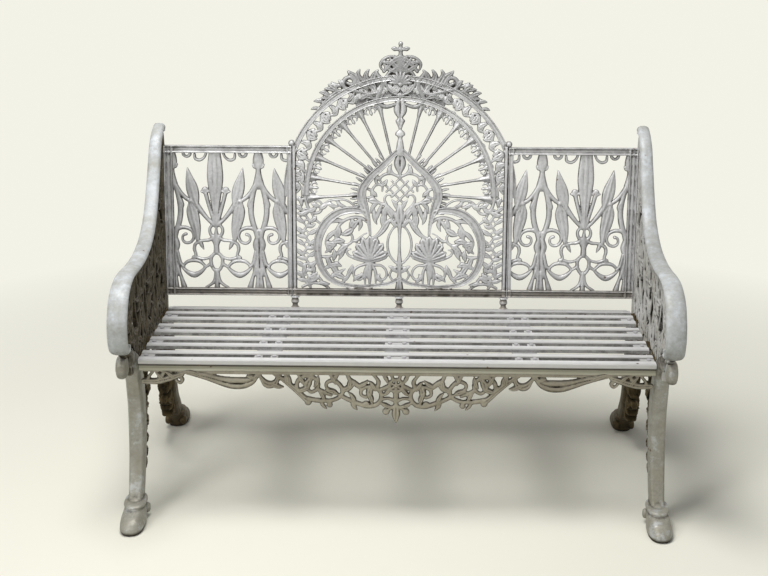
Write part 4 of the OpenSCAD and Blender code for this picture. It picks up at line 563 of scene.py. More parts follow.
WING_LEAVES = [
    [-62, 560, 118, 50, 26], [-104, 538, 104, 56, 26], [-112, 478, 84, 54, 26], [-84, 438, 96, 50, 26],
    [-46, 436, 64, 46, 26], [-2, 524, 86, 66, 28], [32, 540, 84, 66, 28], [72, 562, 106, 52, 24],
    [104, 560, 60, 54, 26], [134, 528, 52, 60, 26], [8, 428, 106, 60, 28], [70, 438, 62, 58, 30],
    [20, 420, 60, 50, 24], [112, 424, 60, 56, 28], [140, 446, 104, 56, 28], [150, 410, 40, 50, 26],
    [194, 452, 58, 56, 30], [172, 540, 84, 66, 28], [218, 566, 88, 62, 28], [254, 546, 62, 64, 28],
    [282, 500, 60, 58, 26], [240, 414, 62, 58, 30], [272, 440, 86, 58, 28], [290, 408, 40, 50, 26],
    [330, 452, 56, 60, 30], [308, 542, 92, 74, 28], [346, 584, 84, 76, 30], [392, 548, 58, 76, 30],
    [402, 476, 46, 64, 30], [366, 420, 50, 60, 30], [424, 424, 84, 58, 30], [444, 556, 84, 70, 28],
    [334, 640, 112, 60, 28], [398, 596, 96, 70, 28], [372, 640, 118, 80, 28], [440, 640, 86, 66, 26],
    [408, 730, 112, 50, 22], [436, 720, 70, 56, 26], [462, 790, 92, 50, 22], [430, 784, 118, 44, 20],
    [-134, 520, 70, 50, 22], [-120, 462, 110, 44, 22], [44, 600, 30, 44, 18], [196, 606, 60, 40, 18],
    [296, 640, 50, 50, 22],
]
WING_ROSETTES = [[-42, 520, 38], [92, 534, 40], [230, 538, 40], [356, 556, 42], [424, 694, 28], [450, 772, 20]]
APRON_LEAVES = [
    [560, 350, 52, 28, 12], [534, 358, 40, 26, 12], [470, 364, 20, 40, 14], [338, 358, 20, 22, 12],
    [300, 348, 200, 30, 14], [262, 346, 80, 28, 13], [236, 330, 160, 30, 14], [222, 346, 60, 26, 13],
    [196, 340, 110, 28, 13], [172, 306, 60, 28, 12], [140, 322, 20, 30, 14], [146, 348, 60, 26, 12],
    [116, 334, 100, 32, 13], [98, 300, 60, 30, 12], [58, 300, 70, 30, 14], [50, 332, 60, 26, 12],
    [92, 342, 150, 28, 12], [30, 320, 130, 26, 12], [20, 352, 60, 26, 11], [36, 300, 200, 26, 12],
]


# Materials: silver paint over cast iron, worn, with grime and painted shade in its hollows and painted highlights on
# its crests
class Shade:
    """A node tree in the making; values may be numbers, colours or sockets."""

    def __init__(self, name):
        self.material = bpy.data.materials.new(name)
        self.material.use_nodes = True
        self.nodes, self.links = self.material.node_tree.nodes, self.material.node_tree.links
        self.shader = self.nodes["Principled BSDF"]
        self.at = self.nodes.new("ShaderNodeTexCoord").outputs["Object"]
        self.geometry = self.nodes.new("ShaderNodeNewGeometry")

    def put(self, socket, value):
        """Sets a socket to a value, or links another socket to it."""
        if isinstance(value, (int, float, tuple)):
            socket.default_value = value
        else:
            self.links.new(value, socket)

    def mix(self, factor, a, b):
        """Colour a where the factor is 0, and b where it is 1."""
        node = self.nodes.new("ShaderNodeMix")
        node.data_type = "RGBA"
        for socket, value in zip((node.inputs[0], node.inputs[6], node.inputs[7]), (factor, a, b)):
            self.put(socket, value)
        return node.outputs[2]

    def math(self, kind, a, b=0.0, clamp=True):
        """A sum on two values, clamped to 0 and 1 unless clamp is off."""
        node = self.nodes.new("ShaderNodeMath")
        node.operation, node.use_clamp = kind, clamp
        self.put(node.inputs[0], a)
        self.put(node.inputs[1], b)
        return node.outputs[0]

    def times(self, a, b):
        """Both values multiplied."""
        return self.math("MULTIPLY", a, b)

    def most(self, a, b):
        """The larger of two values."""
        return self.math("MAXIMUM", a, b)

    def ramp(self, value, low, high, to=(0.0, 1.0)):
        """From to[0] at low to to[1] at high, and flat beyond them."""
        node = self.nodes.new("ShaderNodeMapRange")
        node.clamp = True
        for key, number in (("From Min", low), ("From Max", high), ("To Min", to[0]), ("To Max", to[1])):
            node.inputs[key].default_value = number
        self.links.new(value, node.inputs["Value"])
        return node.outputs["Result"]

    def noise(self, scale, detail=3.0, rough=0.55, stretch=None):
        """Noise over the object's own coordinates, drawn out along an axis where stretch is given."""
        node = self.nodes.new("ShaderNodeTexNoise")
        for key, number in (("Scale", scale), ("Detail", detail), ("Roughness", rough)):
            node.inputs[key].default_value = number
        at = self.at
        if stretch:
            longer = self.nodes.new("ShaderNodeVectorMath")
            longer.operation = "MULTIPLY"
            longer.inputs[1].default_value = stretch
            self.links.new(at, longer.inputs[0])
            at = longer.outputs[0]
        self.links.new(at, node.inputs["Vector"])
        return node.outputs["Fac"]

    def along(self, socket, axis):
        """One axis of a vector."""
        node = self.nodes.new("ShaderNodeSeparateXYZ")
        self.links.new(socket, node.inputs[0])
        return node.outputs[axis]

    def bump(self, height, strength, distance):
        """Relief finer than the mesh."""
        node = self.nodes.new("ShaderNodeBump")
        node.inputs["Strength"].default_value = strength
        node.inputs["Distance"].default_value = distance
        self.links.new(height, node.inputs["Height"])
        self.links.new(node.outputs["Normal"], self.shader.inputs["Normal"])


def tone(red, green, blue):
    """A colour, with its alpha."""
    return red, green, blue, 1.0


def shade_of(colour, share):
    """The same colour, lighter or darker."""
    return tone(*(min(1.0, share * c) for c in colour[:3]))


# dark browns for old paint showing through and, in places, painted shade
OLD_PAINT_AND_SHADE = tone(0.115, 0.082, 0.034), tone(0.055, 0.038, 0.016)
# the next pair is a painted shadow, for the top of the front rail
PAINTED_GAP_SHADOW = tone(0.035, 0.030, 0.024), tone(0.018, 0.015, 0.012)
GRIME_AND_SHADE = tone(0.034, 0.028, 0.020)
# a bright streak, then a painted highlight for the slats' crowns and painted shade for their gaps
BRIGHT_STREAK, PAINTED_SLAT_HIGHLIGHT, PAINTED_GAP_SHADE = tone(0.86, 0.87, 0.88), tone(0.84, 0.85, 0.86), tone(0.17, 0.165, 0.155)
WARM_STAIN, COOL_STAIN = tone(0.27, 0.25, 0.19), tone(0.62, 0.65, 0.70)
RUST, BARE_IRON = tone(0.20, 0.11, 0.06), tone(0.05, 0.035, 0.028)
# The front of the first pair of slats, and from one pair to the next, in metres
SLATS_FROM, SLATS_PITCH = -0.270, 0.108


def brushed_bars(m, colour, share, shade):
    """Bright and dull streaks drawn along the bars."""
    drawn = m.noise(230.0, 3.0, 0.6, (0.02, 1.0, 1.0))
    colour = m.mix(m.times(m.ramp(drawn, 0.52, 0.66), share), colour, BRIGHT_STREAK)
    return m.mix(m.times(m.ramp(drawn, 0.48, 0.36), share), colour, shade_of(shade, 0.45))


def painted_slat_highlight_and_shade(m, colour, share, streaks):
    """Painted highlight on the crown of each slat, partly polish, and painted shade on its front edge by the gap."""
    pairs = m.math("MULTIPLY", m.math("ADD", m.along(m.at, "Y"), -SLATS_FROM, False), 1 / SLATS_PITCH, False)
    across = m.math("FRACT", pairs, 0.0, False)

    def near(middle, reach, full):
        off = m.math("ABSOLUTE", m.math("SUBTRACT", across, middle, False), 0.0, False)
        return m.ramp(off, reach, full)

    # painted shade by the gaps and painted highlight on the crowns
    dull = m.most(near(0.01, 0.07, 0.03), near(0.455, 0.07, 0.03))
    crown = m.most(near(0.16, 0.10, 0.03), near(0.605, 0.10, 0.03))
    uneven = m.ramp(streaks, 0.0, 1.0, (1.0, 0.55))
    colour = m.mix(m.times(m.times(crown, uneven), share), colour, PAINTED_SLAT_HIGHLIGHT)
    return m.mix(m.times(m.times(dull, uneven), share), colour, PAINTED_GAP_SHADE)


def stained(m, colour, share):
    """Warm and cool stains over broad faces."""
    spot = m.noise(26.0, 5.0, 0.72)
    colour = m.mix(m.times(m.ramp(spot, 0.50, 0.66), share), colour, WARM_STAIN)
    return m.mix(m.times(m.ramp(spot, 0.47, 0.36), share), colour, COOL_STAIN)


def iron_paint(name, silver, shade, grime_and_shade, chips, rough=0.42, metal=0.3, shade_and_dirt_strength=0.85, sides=0.0, edge=0.6, old_paint_and_shade_along=None,
               old_paint_and_shade_colours=OLD_PAINT_AND_SHADE, brushed=0.0, stains=0.0, sole=None, gloss=0.5, slats=0.0):
    """Worn silver paint, with painted shade and painted highlights.

    Silver and shade mottle it at random; grime and painted shade fill hollows, undersides and, where sides is set, the
    upright faces between bars; crests and sharp edges get a painted highlight, partly rubbed wear, and chips show dark
    iron with a rusty rim. The tuple
    for old paint and shade is (axis, from, to, shares): from the first share to the second along that axis the colour
    goes over to the old paint and shade colours.
    Brushed, slats and stains are the shares of those marks, slats being a painted highlight on each slat's crown and
    painted shade at its gaps, and sole, as two heights, darkens what is lower."""
    m = Shade(name)
    clouds = m.ramp(m.noise(9.0, 4.0), 0.35, 0.65)
    fine = m.ramp(m.noise(170.0, 3.0), 0.3, 0.7)
    patches = m.ramp(m.noise(38.0, 5.0, 0.7), 0.40, 0.62)
    streaks = m.ramp(m.noise(75.0, 4.0, 0.65), 0.45, 0.7)
    light = shade_of(silver, 1.35)
    colour = m.mix(clouds, silver, shade)
    colour = m.mix(m.times(fine, 0.3), colour, light)
    colour = m.mix(m.times(streaks, 0.25), colour, shade_of(shade, 0.6))
    if brushed:
        colour = brushed_bars(m, colour, brushed, shade)
    if slats:
        colour = painted_slat_highlight_and_shade(m, colour, slats, streaks)
    if stains:
        colour = stained(m, colour, stains)
    # old paint, and in places painted shade, along an axis
    if old_paint_and_shade_along:
        axis, start, end, shares = old_paint_and_shade_along
        colour = m.mix(m.ramp(m.along(m.at, axis), start, end, shares), colour, m.mix(streaks, *old_paint_and_shade_colours))
    # the hollow attribute is the castings' own: 0.5 is flat, more is a hollow, darkened with grime and painted shade,
    # less is a crest, lightened with a painted highlight
    own = m.nodes.new("ShaderNodeAttribute")
    own.attribute_name = "hollow"
    hollow = own.outputs["Fac"]
    # hollows and creases darken with painted shade, partly grime
    deep = m.ramp(hollow, 0.5, 0.72)
    crest = m.times(m.ramp(hollow, 0.48, 0.30), m.ramp(hollow, 0.0, 0.05))
    sharp = m.geometry.outputs["Pointiness"]
    crease = m.ramp(sharp, 0.49, 0.44)
    # painted highlight on crests and sharp edges, partly rubbed wear
    highlight_and_wear = m.most(m.times(crest, 0.8), m.ramp(sharp, 0.52, 0.60))
    colour = m.mix(m.times(highlight_and_wear, edge), colour, light)
    up = m.along(m.geometry.outputs["Normal"], "Z")
    # undersides darken with painted shade
    below = m.times(m.ramp(up, -0.1, -0.75), 0.75)
    shade_and_dirt_mask = m.most(m.most(deep, crease), below)
    if sides:
        # painted shade, partly grime, on the upright faces between bars, but not on the front face of the seat
        inner = m.ramp(m.along(m.at, "Y"), -0.268, -0.258)
        shade_and_dirt_mask = m.most(shade_and_dirt_mask, m.times(m.times(m.ramp(up, 0.72, 0.3), inner), sides))
    shade_and_dirt_mask = m.times(m.times(shade_and_dirt_mask, m.ramp(patches, 0.0, 1.0, (0.45, 1.0))), shade_and_dirt_strength)
    if sole:
        shade_and_dirt_mask = m.most(shade_and_dirt_mask, m.ramp(m.along(m.at, "Z"), *sole, (0.0, 0.95)))
    colour = m.mix(shade_and_dirt_mask, colour, grime_and_shade)
    # a few chips down to the iron
    spots = m.nodes.new("ShaderNodeTexVoronoi")
    spots.inputs["Scale"].default_value = 34.0
    m.links.new(m.at, spots.inputs["Vector"])
    wobble = m.math("ADD", spots.outputs["Distance"], m.times(fine, 0.05))
    rare = m.times(m.ramp(m.noise(11.0, 2.0), 0.58, 0.63), chips)
    rim = m.times(m.ramp(wobble, 0.17, 0.12), rare)
    chip = m.times(m.ramp(wobble, 0.12, 0.09), rare)
    colour = m.mix(m.times(rim, 0.6), colour, RUST)
    colour = m.mix(chip, colour, BARE_IRON)
    m.put(m.shader.inputs["Base Color"], colour)
    # roughness follows the mask of dirt and painted shade, and the chips
    rougher = m.math("ADD", m.ramp(patches, 0.0, 1.0, (rough - 0.07, rough + 0.12)), m.times(shade_and_dirt_mask, 0.3))
    m.put(m.shader.inputs["Roughness"], m.math("ADD", rougher, m.times(chip, 0.3)))
    m.shader.inputs["Metallic"].default_value = metal
    m.shader.inputs["Specular IOR Level"].default_value = gloss
    # sand-cast skin under brushed paint
    height = m.math("ADD", m.times(m.noise(420.0, 3.0), 0.35), m.times(m.noise(70.0, 2.0), 0.65))
    m.bump(m.math("SUBTRACT", height, m.times(rim, 0.5)), 0.55, 0.0012)
    return m.material


# the casting paint goes darker brown at the back's bottom rail: painted shade, partly dirt
CASTING = iron_paint("casting_paint", tone(0.61, 0.615, 0.63), tone(0.41, 0.41, 0.42), GRIME_AND_SHADE, 0.9, shade_and_dirt_strength=1.15, edge=0.9,
                     old_paint_and_shade_along=("Z", 0.452, 0.436, (0.0, 0.65)))
CREST_PAINT = iron_paint("crest_paint", tone(0.39, 0.395, 0.405), tone(0.24, 0.24, 0.245), GRIME_AND_SHADE, 0.9, shade_and_dirt_strength=1.1,
                         edge=0.9)
ARM_PAINT = iron_paint("arm_paint", tone(0.43, 0.45, 0.455), tone(0.325, 0.335, 0.335), GRIME_AND_SHADE, 0.9, rough=0.56,
                       metal=0.1, stains=0.45)
# the leg paint goes over to dark brown towards the rear legs: painted shade, partly brown old paint
LEG = iron_paint("leg_paint", tone(0.33, 0.325, 0.29), tone(0.235, 0.225, 0.185), GRIME_AND_SHADE, 0.9, rough=0.45,
                 old_paint_and_shade_along=("Y", 0.0, 0.14, (0.0, 0.96)), stains=0.4, sole=(0.011, 0.004), gloss=0.2,
                 old_paint_and_shade_colours=(tone(0.075, 0.050, 0.017), tone(0.018, 0.012, 0.004)))
# the wing paint goes over to dark brown towards the left end: painted shade on its inner face, partly dirt and rust
WING = iron_paint("wing_paint", tone(0.50, 0.50, 0.49), tone(0.33, 0.32, 0.29), tone(0.014, 0.011, 0.007), 0.9,
                  rough=0.5, shade_and_dirt_strength=1.35, edge=0.95, old_paint_and_shade_along=("X", 0.35, -0.35, (0.0, 0.93)), gloss=0.12,
                  old_paint_and_shade_colours=(tone(0.092, 0.072, 0.038), tone(0.010, 0.008, 0.004)))
BRACKET = iron_paint("bracket_paint", tone(0.20, 0.18, 0.14), tone(0.11, 0.095, 0.065), tone(0.012, 0.010, 0.007), 0.9,
                     rough=0.55, shade_and_dirt_strength=1.1, old_paint_and_shade_along=("Y", -0.30, 0.02, (0.6, 0.92)), gloss=0.08)
APRON = iron_paint("apron_paint", tone(0.37, 0.345, 0.28), tone(0.245, 0.22, 0.17), tone(0.022, 0.018, 0.012), 0.9,
                   rough=0.5, shade_and_dirt_strength=1.35, edge=0.9, gloss=0.2)
# slat paints: painted highlight on the crowns, painted shade at the gaps and on the upright faces between slats
SLAT = iron_paint("slat_paint", tone(0.51, 0.51, 0.515), tone(0.38, 0.38, 0.385), GRIME_AND_SHADE, 1.0, rough=0.36, sides=0.8,
                  brushed=0.5, slats=0.75)
# the nose paint greys its rounded front downwards with painted shade and blackens its underside with a painted shadow
NOSE = iron_paint("nose_paint", tone(0.57, 0.57, 0.575), tone(0.42, 0.42, 0.425), GRIME_AND_SHADE, 1.0, rough=0.36, sides=0.8,
                  old_paint_and_shade_along=("Z", 0.4095, 0.4060, (0.0, 0.9)), sole=(0.4000, 0.3970),
                  old_paint_and_shade_colours=(tone(0.19, 0.185, 0.165), tone(0.13, 0.125, 0.11)), brushed=0.5, slats=0.6)
# with sides, painted shade, partly grime, on the upright faces of the bars
BAR = iron_paint("bar_paint", tone(0.40, 0.40, 0.40), tone(0.28, 0.275, 0.27), GRIME_AND_SHADE, 1.0, sides=0.9)
# a painted shadow darkens the rail's top, under the slats' nose
RAIL = iron_paint("rail_paint", tone(0.38, 0.37, 0.30), tone(0.26, 0.25, 0.19), GRIME_AND_SHADE, 0.9,
                  old_paint_and_shade_along=("Z", 0.3825, 0.3845, (0.0, 0.97)), old_paint_and_shade_colours=PAINTED_GAP_SHADOW, brushed=0.4, gloss=0.3)
FASTENER = iron_paint("fastener_paint", tone(0.40, 0.395, 0.41), tone(0.27, 0.26, 0.27), GRIME_AND_SHADE, 0.6)

# Heights between which the flanks of the back castings clear of painted shade and dirt
RELIEF = (-3.2, -0.4, False)
# Where the lilies and the buds stand along a side casting, and a lily's beads as [x, y, diameter, rise]
LILIES_AT, BUDS_AT = (-26, 206), (90, 322)
LILY_BEADS = [[28, 286, 18, 9], [62, 102, 12, 9], [67, 256, 15, 12]]


# Back castings
def side_panel(side, node):
    """One side casting of the back: a moulded frame round two and a half lilies and their buds."""
    base, thick = -LACE_T / 2, FRAME_T + 2.5
    bars = Casting()
    for y in (RAIL_W / 2, PANEL_H - RAIL_W / 2):
        bars.stroke([[0, y, RAIL_W], [SIDE_W, y, RAIL_W]], base, thick, BAND, n=2, tips=False)
    for x, w in ((INNER_STILE_W / 2, INNER_STILE_W), (SIDE_W - OUTER_STILE_W / 2, OUTER_STILE_W)):
        bars.stroke([[x, 2, w], [x, PANEL_H - 2, w]], base, thick, BAND, n=2, tips=False)
    lace, inside = Casting(), Casting()
    for at in LILIES_AT:
        lace.stroke(broad(moved(LILY_LEAF, at)), base, 10.5, LEAF)
        lace.strokes([broad(moved(p, at)) for p in (LILY_STEM, LILY_FOOT)], base, 10.5)
        for s in (1, -1):
            lace.tracery([moved(p, at, s) for p in LILY_SIDE], 20, base, (11, 9.5), LEAF, BROAD)
            for x, y, d, rise in LILY_BEADS:
                lace.dome(at + s * x, y, d, base, rise)
    for at in BUDS_AT:
        inside.stroke(broad(moved(BUD_STEM, at)), base, 10.5)
        inside.stroke(broad(moved(BUD_FOOT, at)), base, 10, VEIN)
        for s in (1, -1):
            inside.strokes([broad(moved(p, at, s)) for p in BUD_SIDE], base, 9.5)

    def place(p):
        q = p.copy()
        q[:, 0] = side * (CENTRE_HALF + q[:, 0])
        return on_back(q)

    def within(p):
        q = p.copy()
        q[:, 0] = np.clip(q[:, 0], 4, SIDE_W - 6)
        q[:, 1] = np.clip(q[:, 1], 4, PANEL_H - 4)
        return place(q)

    for name, piece, put in (("frame", bars, place), ("lilies", lace, within), ("buds", inside, within)):
        cast(f"{node}_{name}", piece, put, [node], CASTING, RELIEF, flip=side < 0)


side_panel(1, "back_panel_right")
side_panel(-1, "back_panel_left")

# Sizes of the centre casting's drawing: the lattice, the lobes' outline, where the ogee's edges count, and the
# spokes on each side, with their angles in degrees
LATTICE_Y = 292
LOBE_AT, LOBE_R, LOBE_SHAPE = (130, 132), 104, 0.84
OGEE_FROM, OGEE_TO = 160, 398
SPOKES, FIRST_SPOKE, SPOKE_STEP = 7, 76.5, 13.4
# Heights of the boss in the crest and of the point its flutes spread from
BOSS_Y, FLUTES_Y = 584, 570

def centre(name, casting, place=on_back, material=CASTING):
    """A piece of the centre casting of the back."""
    cast(f"back_centre_{name}", casting, place, ["back_panel_centre"], material, RELIEF)


base = -LACE_T / 2
# its bottom rail and stiles, the ribs of the arch, and the outlines of ogee and lobes
ribs = Casting()
ribs.strokes([OGEE, LOBE], base, 11, BAND, mirror=True, full=14)
for r, w in ((RIB_OUTER, 15), (RIB_INNER, 14)):
    ribs.stroke(arc((0, ARCH_CENTRE), r, -2.5, 182.5, w, 5), base, 11, BAND, n=2, full=10, tips=False)
ribs.stroke(PENDANT, base, 12, VEIN, full=20)
ribs.stroke(OGEE_TIP, base, 11.5, ROUND, full=20)
ribs.stroke([[x, RAIL_W / 2, RAIL_W] for x in (-CENTRE_HALF, CENTRE_HALF)], base, FRAME_T + 2.5, BAND, n=2, tips=False)
ribs.stroke([[CENTRE_HALF - CENTRE_STILE_W / 2, y, CENTRE_STILE_W] for y in (2, PANEL_H)], base, FRAME_T, ROUND,
            n=2, tips=False, mirror=True)
ribs.dome(CENTRE_HALF, PANEL_H + 7, 18, base, FRAME_T + 3, mirror=True)
centre("ribs", ribs)

# what fills the ogee and the lobes
cartouche = Casting()
cartouche.tracery(OGEE_INSIDE + LOBE_INSIDE + MIDDLE_COLUMN, 10.5, base + 0.3, (8.6, 7.4), mirror=True)
cartouche.leaves(OGEE_LEAVES + LOBE_LEAVES, base, 9.4, mirror=True, full=12)
cartouche.stroke(COLUMN_STEM, base, 10, VEIN, full=16)
cartouche.stroke(OGEE_BUD, base, 10, VEIN, full=20)
# the fan of petals in each lobe, as [half breadth, height, width] along a petal
for a in range(18, 163, 24):
    c, s = math.cos(math.radians(a)), math.sin(math.radians(a))
    petal = [[80 + out * c, 100 + up * s, w] for out, up, w in ((0, 0, 9), (22, 28, 17), (40, 54, 22), (45, 62, 9))]
    cartouche.stroke(petal, base, 10.5, VEIN, mirror=True, full=14)
# the lattice in the ogee
for i in (-20, 0, 20):
    for line in ([[i, -31, 6], [i, 31, 6]], [[-31, i, 6], [31, i, 6]]):
        cartouche.stroke(turned(line, 45, (0, LATTICE_Y)), base, 7.5, n=2)
centre("cartouche", cartouche)


def in_cartouche(p):
    """Whether a point lies inside the ogee or a lobe, where the spokes stop."""
    x, y = abs(p[0]), p[1]
    if ((x - LOBE_AT[0]) / LOBE_SHAPE) ** 2 + (y - LOBE_AT[1]) ** 2 < LOBE_R ** 2:
        return True
    edge = smooth(OGEE, 6)
    return OGEE_FROM < y < OGEE_TO and x < np.interp(y, edge[::-1, 1], edge[::-1, 0])


def spoke_angle(k):
    """How far a spoke, or a place between spokes, is turned from upright, in degrees."""
    return FIRST_SPOKE - SPOKE_STEP * k - 90


# spokes, and buds between their ends
rays = Casting()
for k in range(SPOKES):
    a = spoke_angle(k)
    y = np.array([*range(60, 206, 6), 214, 222, 230, 238, 247])
    w = np.interp(y, [60, 205, 222, 238, 247], [7, 8.5, 13, 24, 34])
    line = [p for p in turned(np.stack([y * 0, y, w], 1), a, (0, ARCH_CENTRE)) if not in_cartouche(p)]
    rays.stroke(line, base + 0.6, 8.2, RIDGE, n=1, mirror=True, tips=False)
for k in range(SPOKES - 1):
    a = spoke_angle(k + 0.5)
    rays.stroke(turned([[0, 248, 22], [0, 239, 12], [0, 231, 7], [0, 222, 9], [0, 218, 4]], a, (0, ARCH_CENTRE)),
                base + 0.6, 8, mirror=True)
    for s in (1, -1):
        rays.stroke(turned([[0, 238, 6], [10 * s, 236, 7], [14 * s, 228, 6], [9 * s, 222, 4]], a, (0, ARCH_CENTRE)),
                    base + 0.6, 7, mirror=True)
# short rays outside the ogee
edge = smooth(OGEE, 3)
way = headings(edge)
for i in range(5, 20):
    out = np.array([-way[i, 1], way[i, 0]])
    at = edge[i, :2] + 0.4 * edge[i, 2] * out
    rays.stroke([[*at, 6], [*(at + 9 * out), 8], [*(at + 20 * out), 4]], base + 0.3, 8.5, RIDGE, mirror=True)
centre("spokes", rays)

# the vine between the ribs of the arch, with five leaves at each turn
vine = Casting()
for turn in range(-84, 1, 12):
    vine.stroke(turned([[-30, 281, 7], [-15, 292, 8], [0, 281, 8], [15, 266, 8], [30, 274, 7]], turn, (0, ARCH_CENTRE)),
                base + 0.4, 7.6, mirror=True)
    for f in ([-16, 290, -80, 28, 15], [11, 268, 78, 30, 15], [-3, 284, -112, 24, 13], [21, 270, 118, 22, 12],
              [-29, 284, -62, 22, 11]):
        vine.stroke(turned(leaf(f), turn, (0, ARCH_CENTRE)), base + 0.4, 9.2, VEIN, mirror=True, full=11)
centre("vine", vine)

# the corners outside the ogee and the lobes
corner = Casting()
for p in SPANDREL:
    wide = widest(p) > 8.5 and len(p) == 3
    corner.stroke(p, base + 0.4, 8.4 if wide else 7.0, VEIN if wide else ROUND, mirror=True)
corner.leaves(SPANDREL_LEAVES, base + 0.3, 9, mirror=True, full=11)
# a running stem down the outer edge, with a ring and three leaves in each bend
for k in range(7):
    s = 1 if k % 2 == 0 else -1
    x, y = 251, 232 - 30 * k
    corner.stroke([[x + s * 11, y, 7], [x, y - 15, 7], [x - s * 11, y - 30, 7]], base + 0.4, 7, mirror=True)
    corner.stroke(arc((x + s, y - 2), 7, 0, 360, 5, 24), base + 0.4, 7.5, n=2, mirror=True)
    corner.leaves([[x + s * 11, y, 90 - s * 50, 22, 13], [x - s * 7, y - 3, 90 + s * 58, 26, 13],
                   [x + s * 4, y - 14, 90 - s * 70, 22, 11]], base + 0.3, 9, mirror=True, full=11)


def in_spandrel(p):
    """Keeps the corners' ornament within the panel's edges."""
    q = p.copy()
    q[:, 0] = np.clip(q[:, 0], -CENTRE_HALF + 3, CENTRE_HALF - 3)
    q[:, 1] = np.maximum(q[:, 1], 4)
    return on_back(q)


centre("spandrels", corner, in_spandrel)

# the crest and its finial
crown = Casting()
for p in CREST + [CREST_FOOT, FINIAL_ARM]:
    wide = widest(p) > 10.5
    crown.stroke(p, base - 0.5, 10.5 if wide else 8.5, VEIN if wide and len(p) < 6 else ROUND, mirror=True)
crown.leaves(CREST_LEAVES, base, 11.5, mirror=True, full=13)
crown.stroke(arc((0, ARCH_CENTRE), 276, 63, 117, 50, 4), base + 0.3, 3.7, FLAT, n=2, tips=False)
crown.stroke(FINIAL, base, 9.5, ROUND, full=16)
crown.strokes([[[6, 606, 9], [19, 621, 13], [28, 636, 6]], [[12, 600, 9], [30, 609, 13], [44, 620, 6]],
               [[3, 616, 8], [9, 632, 11], [17, 643, 5]]], base, 10.5, VEIN, mirror=True, full=12)
crown.dome(0, 674, 13, base, 9.5)
# the boss, a plain shell of nine flutes
crown.dome(0, BOSS_Y, 56, base - 0.5, 8.5, n=40)
for a in range(-84, 85, 21):
    crown.stroke(turned([[0, 0, 4], [0, 12, 8], [0, 24, 9], [0, 30, 5]], -a, (0, FLUTES_Y)), base + 2, 11)
# beads on the boss and below it
crown.dome(0, 568, 15, base, 14)
crown.dome(0, 538, 20, base, 11)
centre("crest", crown, material=CREST_PAINT)


# Apron: half the length of its drawing, and the top of it above the drawing's floor
APRON_HALF, APRON_TOP = 612, 378
APRON_FLOWER = (0, 344)


def on_apron(p):
    """Drawing of the apron, as [x, z above its drawing floor, forwards], into the row frame."""
    q = np.empty_like(p)
    q[:, 0] = p[:, 0] * (LEG_INNER - 6) / APRON_HALF
    q[:, 1] = RAIL_V + APRON_T - p[:, 2]
    q[:, 2] = p[:, 1] + UNDER_BEARERS - FRONT_RAIL_H - APRON_TOP
    return on_seat(q)


lace = Casting()
lace.tracery(APRON_LACE, 11.5, 0, (9.6, 8.6), share=1.4, mirror=True, full=14)
lace.leaves(APRON_LEAVES, 0, 11, mirror=True, full=12)
lace.stroke(APRON_PENDANT[0], 0, 8)
lace.stroke(APRON_PENDANT[1], 0, 9, VEIN)
for x, y, d in ((212, 300, 17), (160, 294, 15), (72, 295, 20), (24, 278, 18)):
    lace.dome(x, y, d, 0, 8.5, mirror=True)
# the flower in the middle, in its ring
lace.stroke(arc(APRON_FLOWER, 16, 0, 360, 8, 15), 0, 8, n=2)
for a in range(0, 360, 60):
    lace.stroke(turned([[0, 0, 4], [0, 8, 7], [0, 13, 5]], a, APRON_FLOWER), 0, 8.5)
lace.dome(*APRON_FLOWER, 8, 0, 10)
# the rail along the top, and its tabs
lace.stroke([[0, 374, 8], [510, 374, 8]], 0, 7.5, FLAT, n=2, tips=False, mirror=True)
lace.stroke([[508, 376, 4], [609, 376, 4]], 0, 7, FLAT, n=2, tips=False, mirror=True)
for x in (60, 280, 500):
    lace.block((x - 11, 370, -20), (x + 11, APRON_TOP, 1), mirror=True)
    lace.block((x - 11, 370, -20), (x + 11, 390, -14), mirror=True)
cast("apron_lace", lace, on_apron, ["apron"], APRON, (0.3, 2.8, False), thin=0.7)


# End frames, drawn as [y, z, outwards] about the middle of the web
ARM = smooth(ARM_LINE, 6)
ARM_WAY = headings(ARM)
ARM_OUT = np.stack([ARM_WAY[:, 1], -ARM_WAY[:, 0]], 1)
# Where along the drawing the band of the arm narrows from its front width to its top width
ARM_FROM, ARM_TO = -120, 486
# Crowned section of the arm, as [share of the half width, millimetres out of its middle line]
ARM_SECTION = [
    [0, 4], [0.35, 3.6], [0.62, 2.5], [0.82, 0.4], [0.94, -2.4], [1, -5], [0.97, -7.4], [0.88, -8.6], [0.6, -6],
    [0, -4],
]


def under_arm(p):
    """Keeps the lace of the web below the middle of the arm."""
    p = p.copy()
    line, out = ARM[14:-20, :2], ARM_OUT[14:-20]
    # so many points at a time, to spare memory
    batch = 20000
    for i in range(0, len(p), batch):
        part = p[i:i + batch]
        near = ((part[:, None, :2] - line[None]) ** 2).sum(2).argmin(1)
        above = ((part[:, :2] - line[near]) * out[near]).sum(1) + 1.5
        part[:, :2] -= out[near] * np.clip(above, 0, None)[:, None]
    return p


def limb(casting, points, heights, halves):
    """A leg swept along its drawing, with its half widths at some heights."""
    q = smooth(points, 8)
    casting.rings([
        [[x - v * w / 2 * dy, z + v * w / 2 * dx, u * np.interp(z, heights, halves)] for u, v in LEG_SECTION]
        for (x, z, w), (dx, dy) in zip(q, headings(q))
    ])


def hoof(casting, side=1, at=0.0):
    """A hoof through its slices, squarer than ovals; where side is -1 it faces the rear."""
    c, s = (np.sign(v) * np.abs(v) ** 0.82 for v in (np.cos(around(36)), np.sin(around(36))))
    casting.rings([
        np.stack([at + side * ((lo + hi) / 2 + (hi - lo) / 2 * c), np.full(len(c), z), w * s], 1)
        for z, lo, hi, w in HOOF
    ])


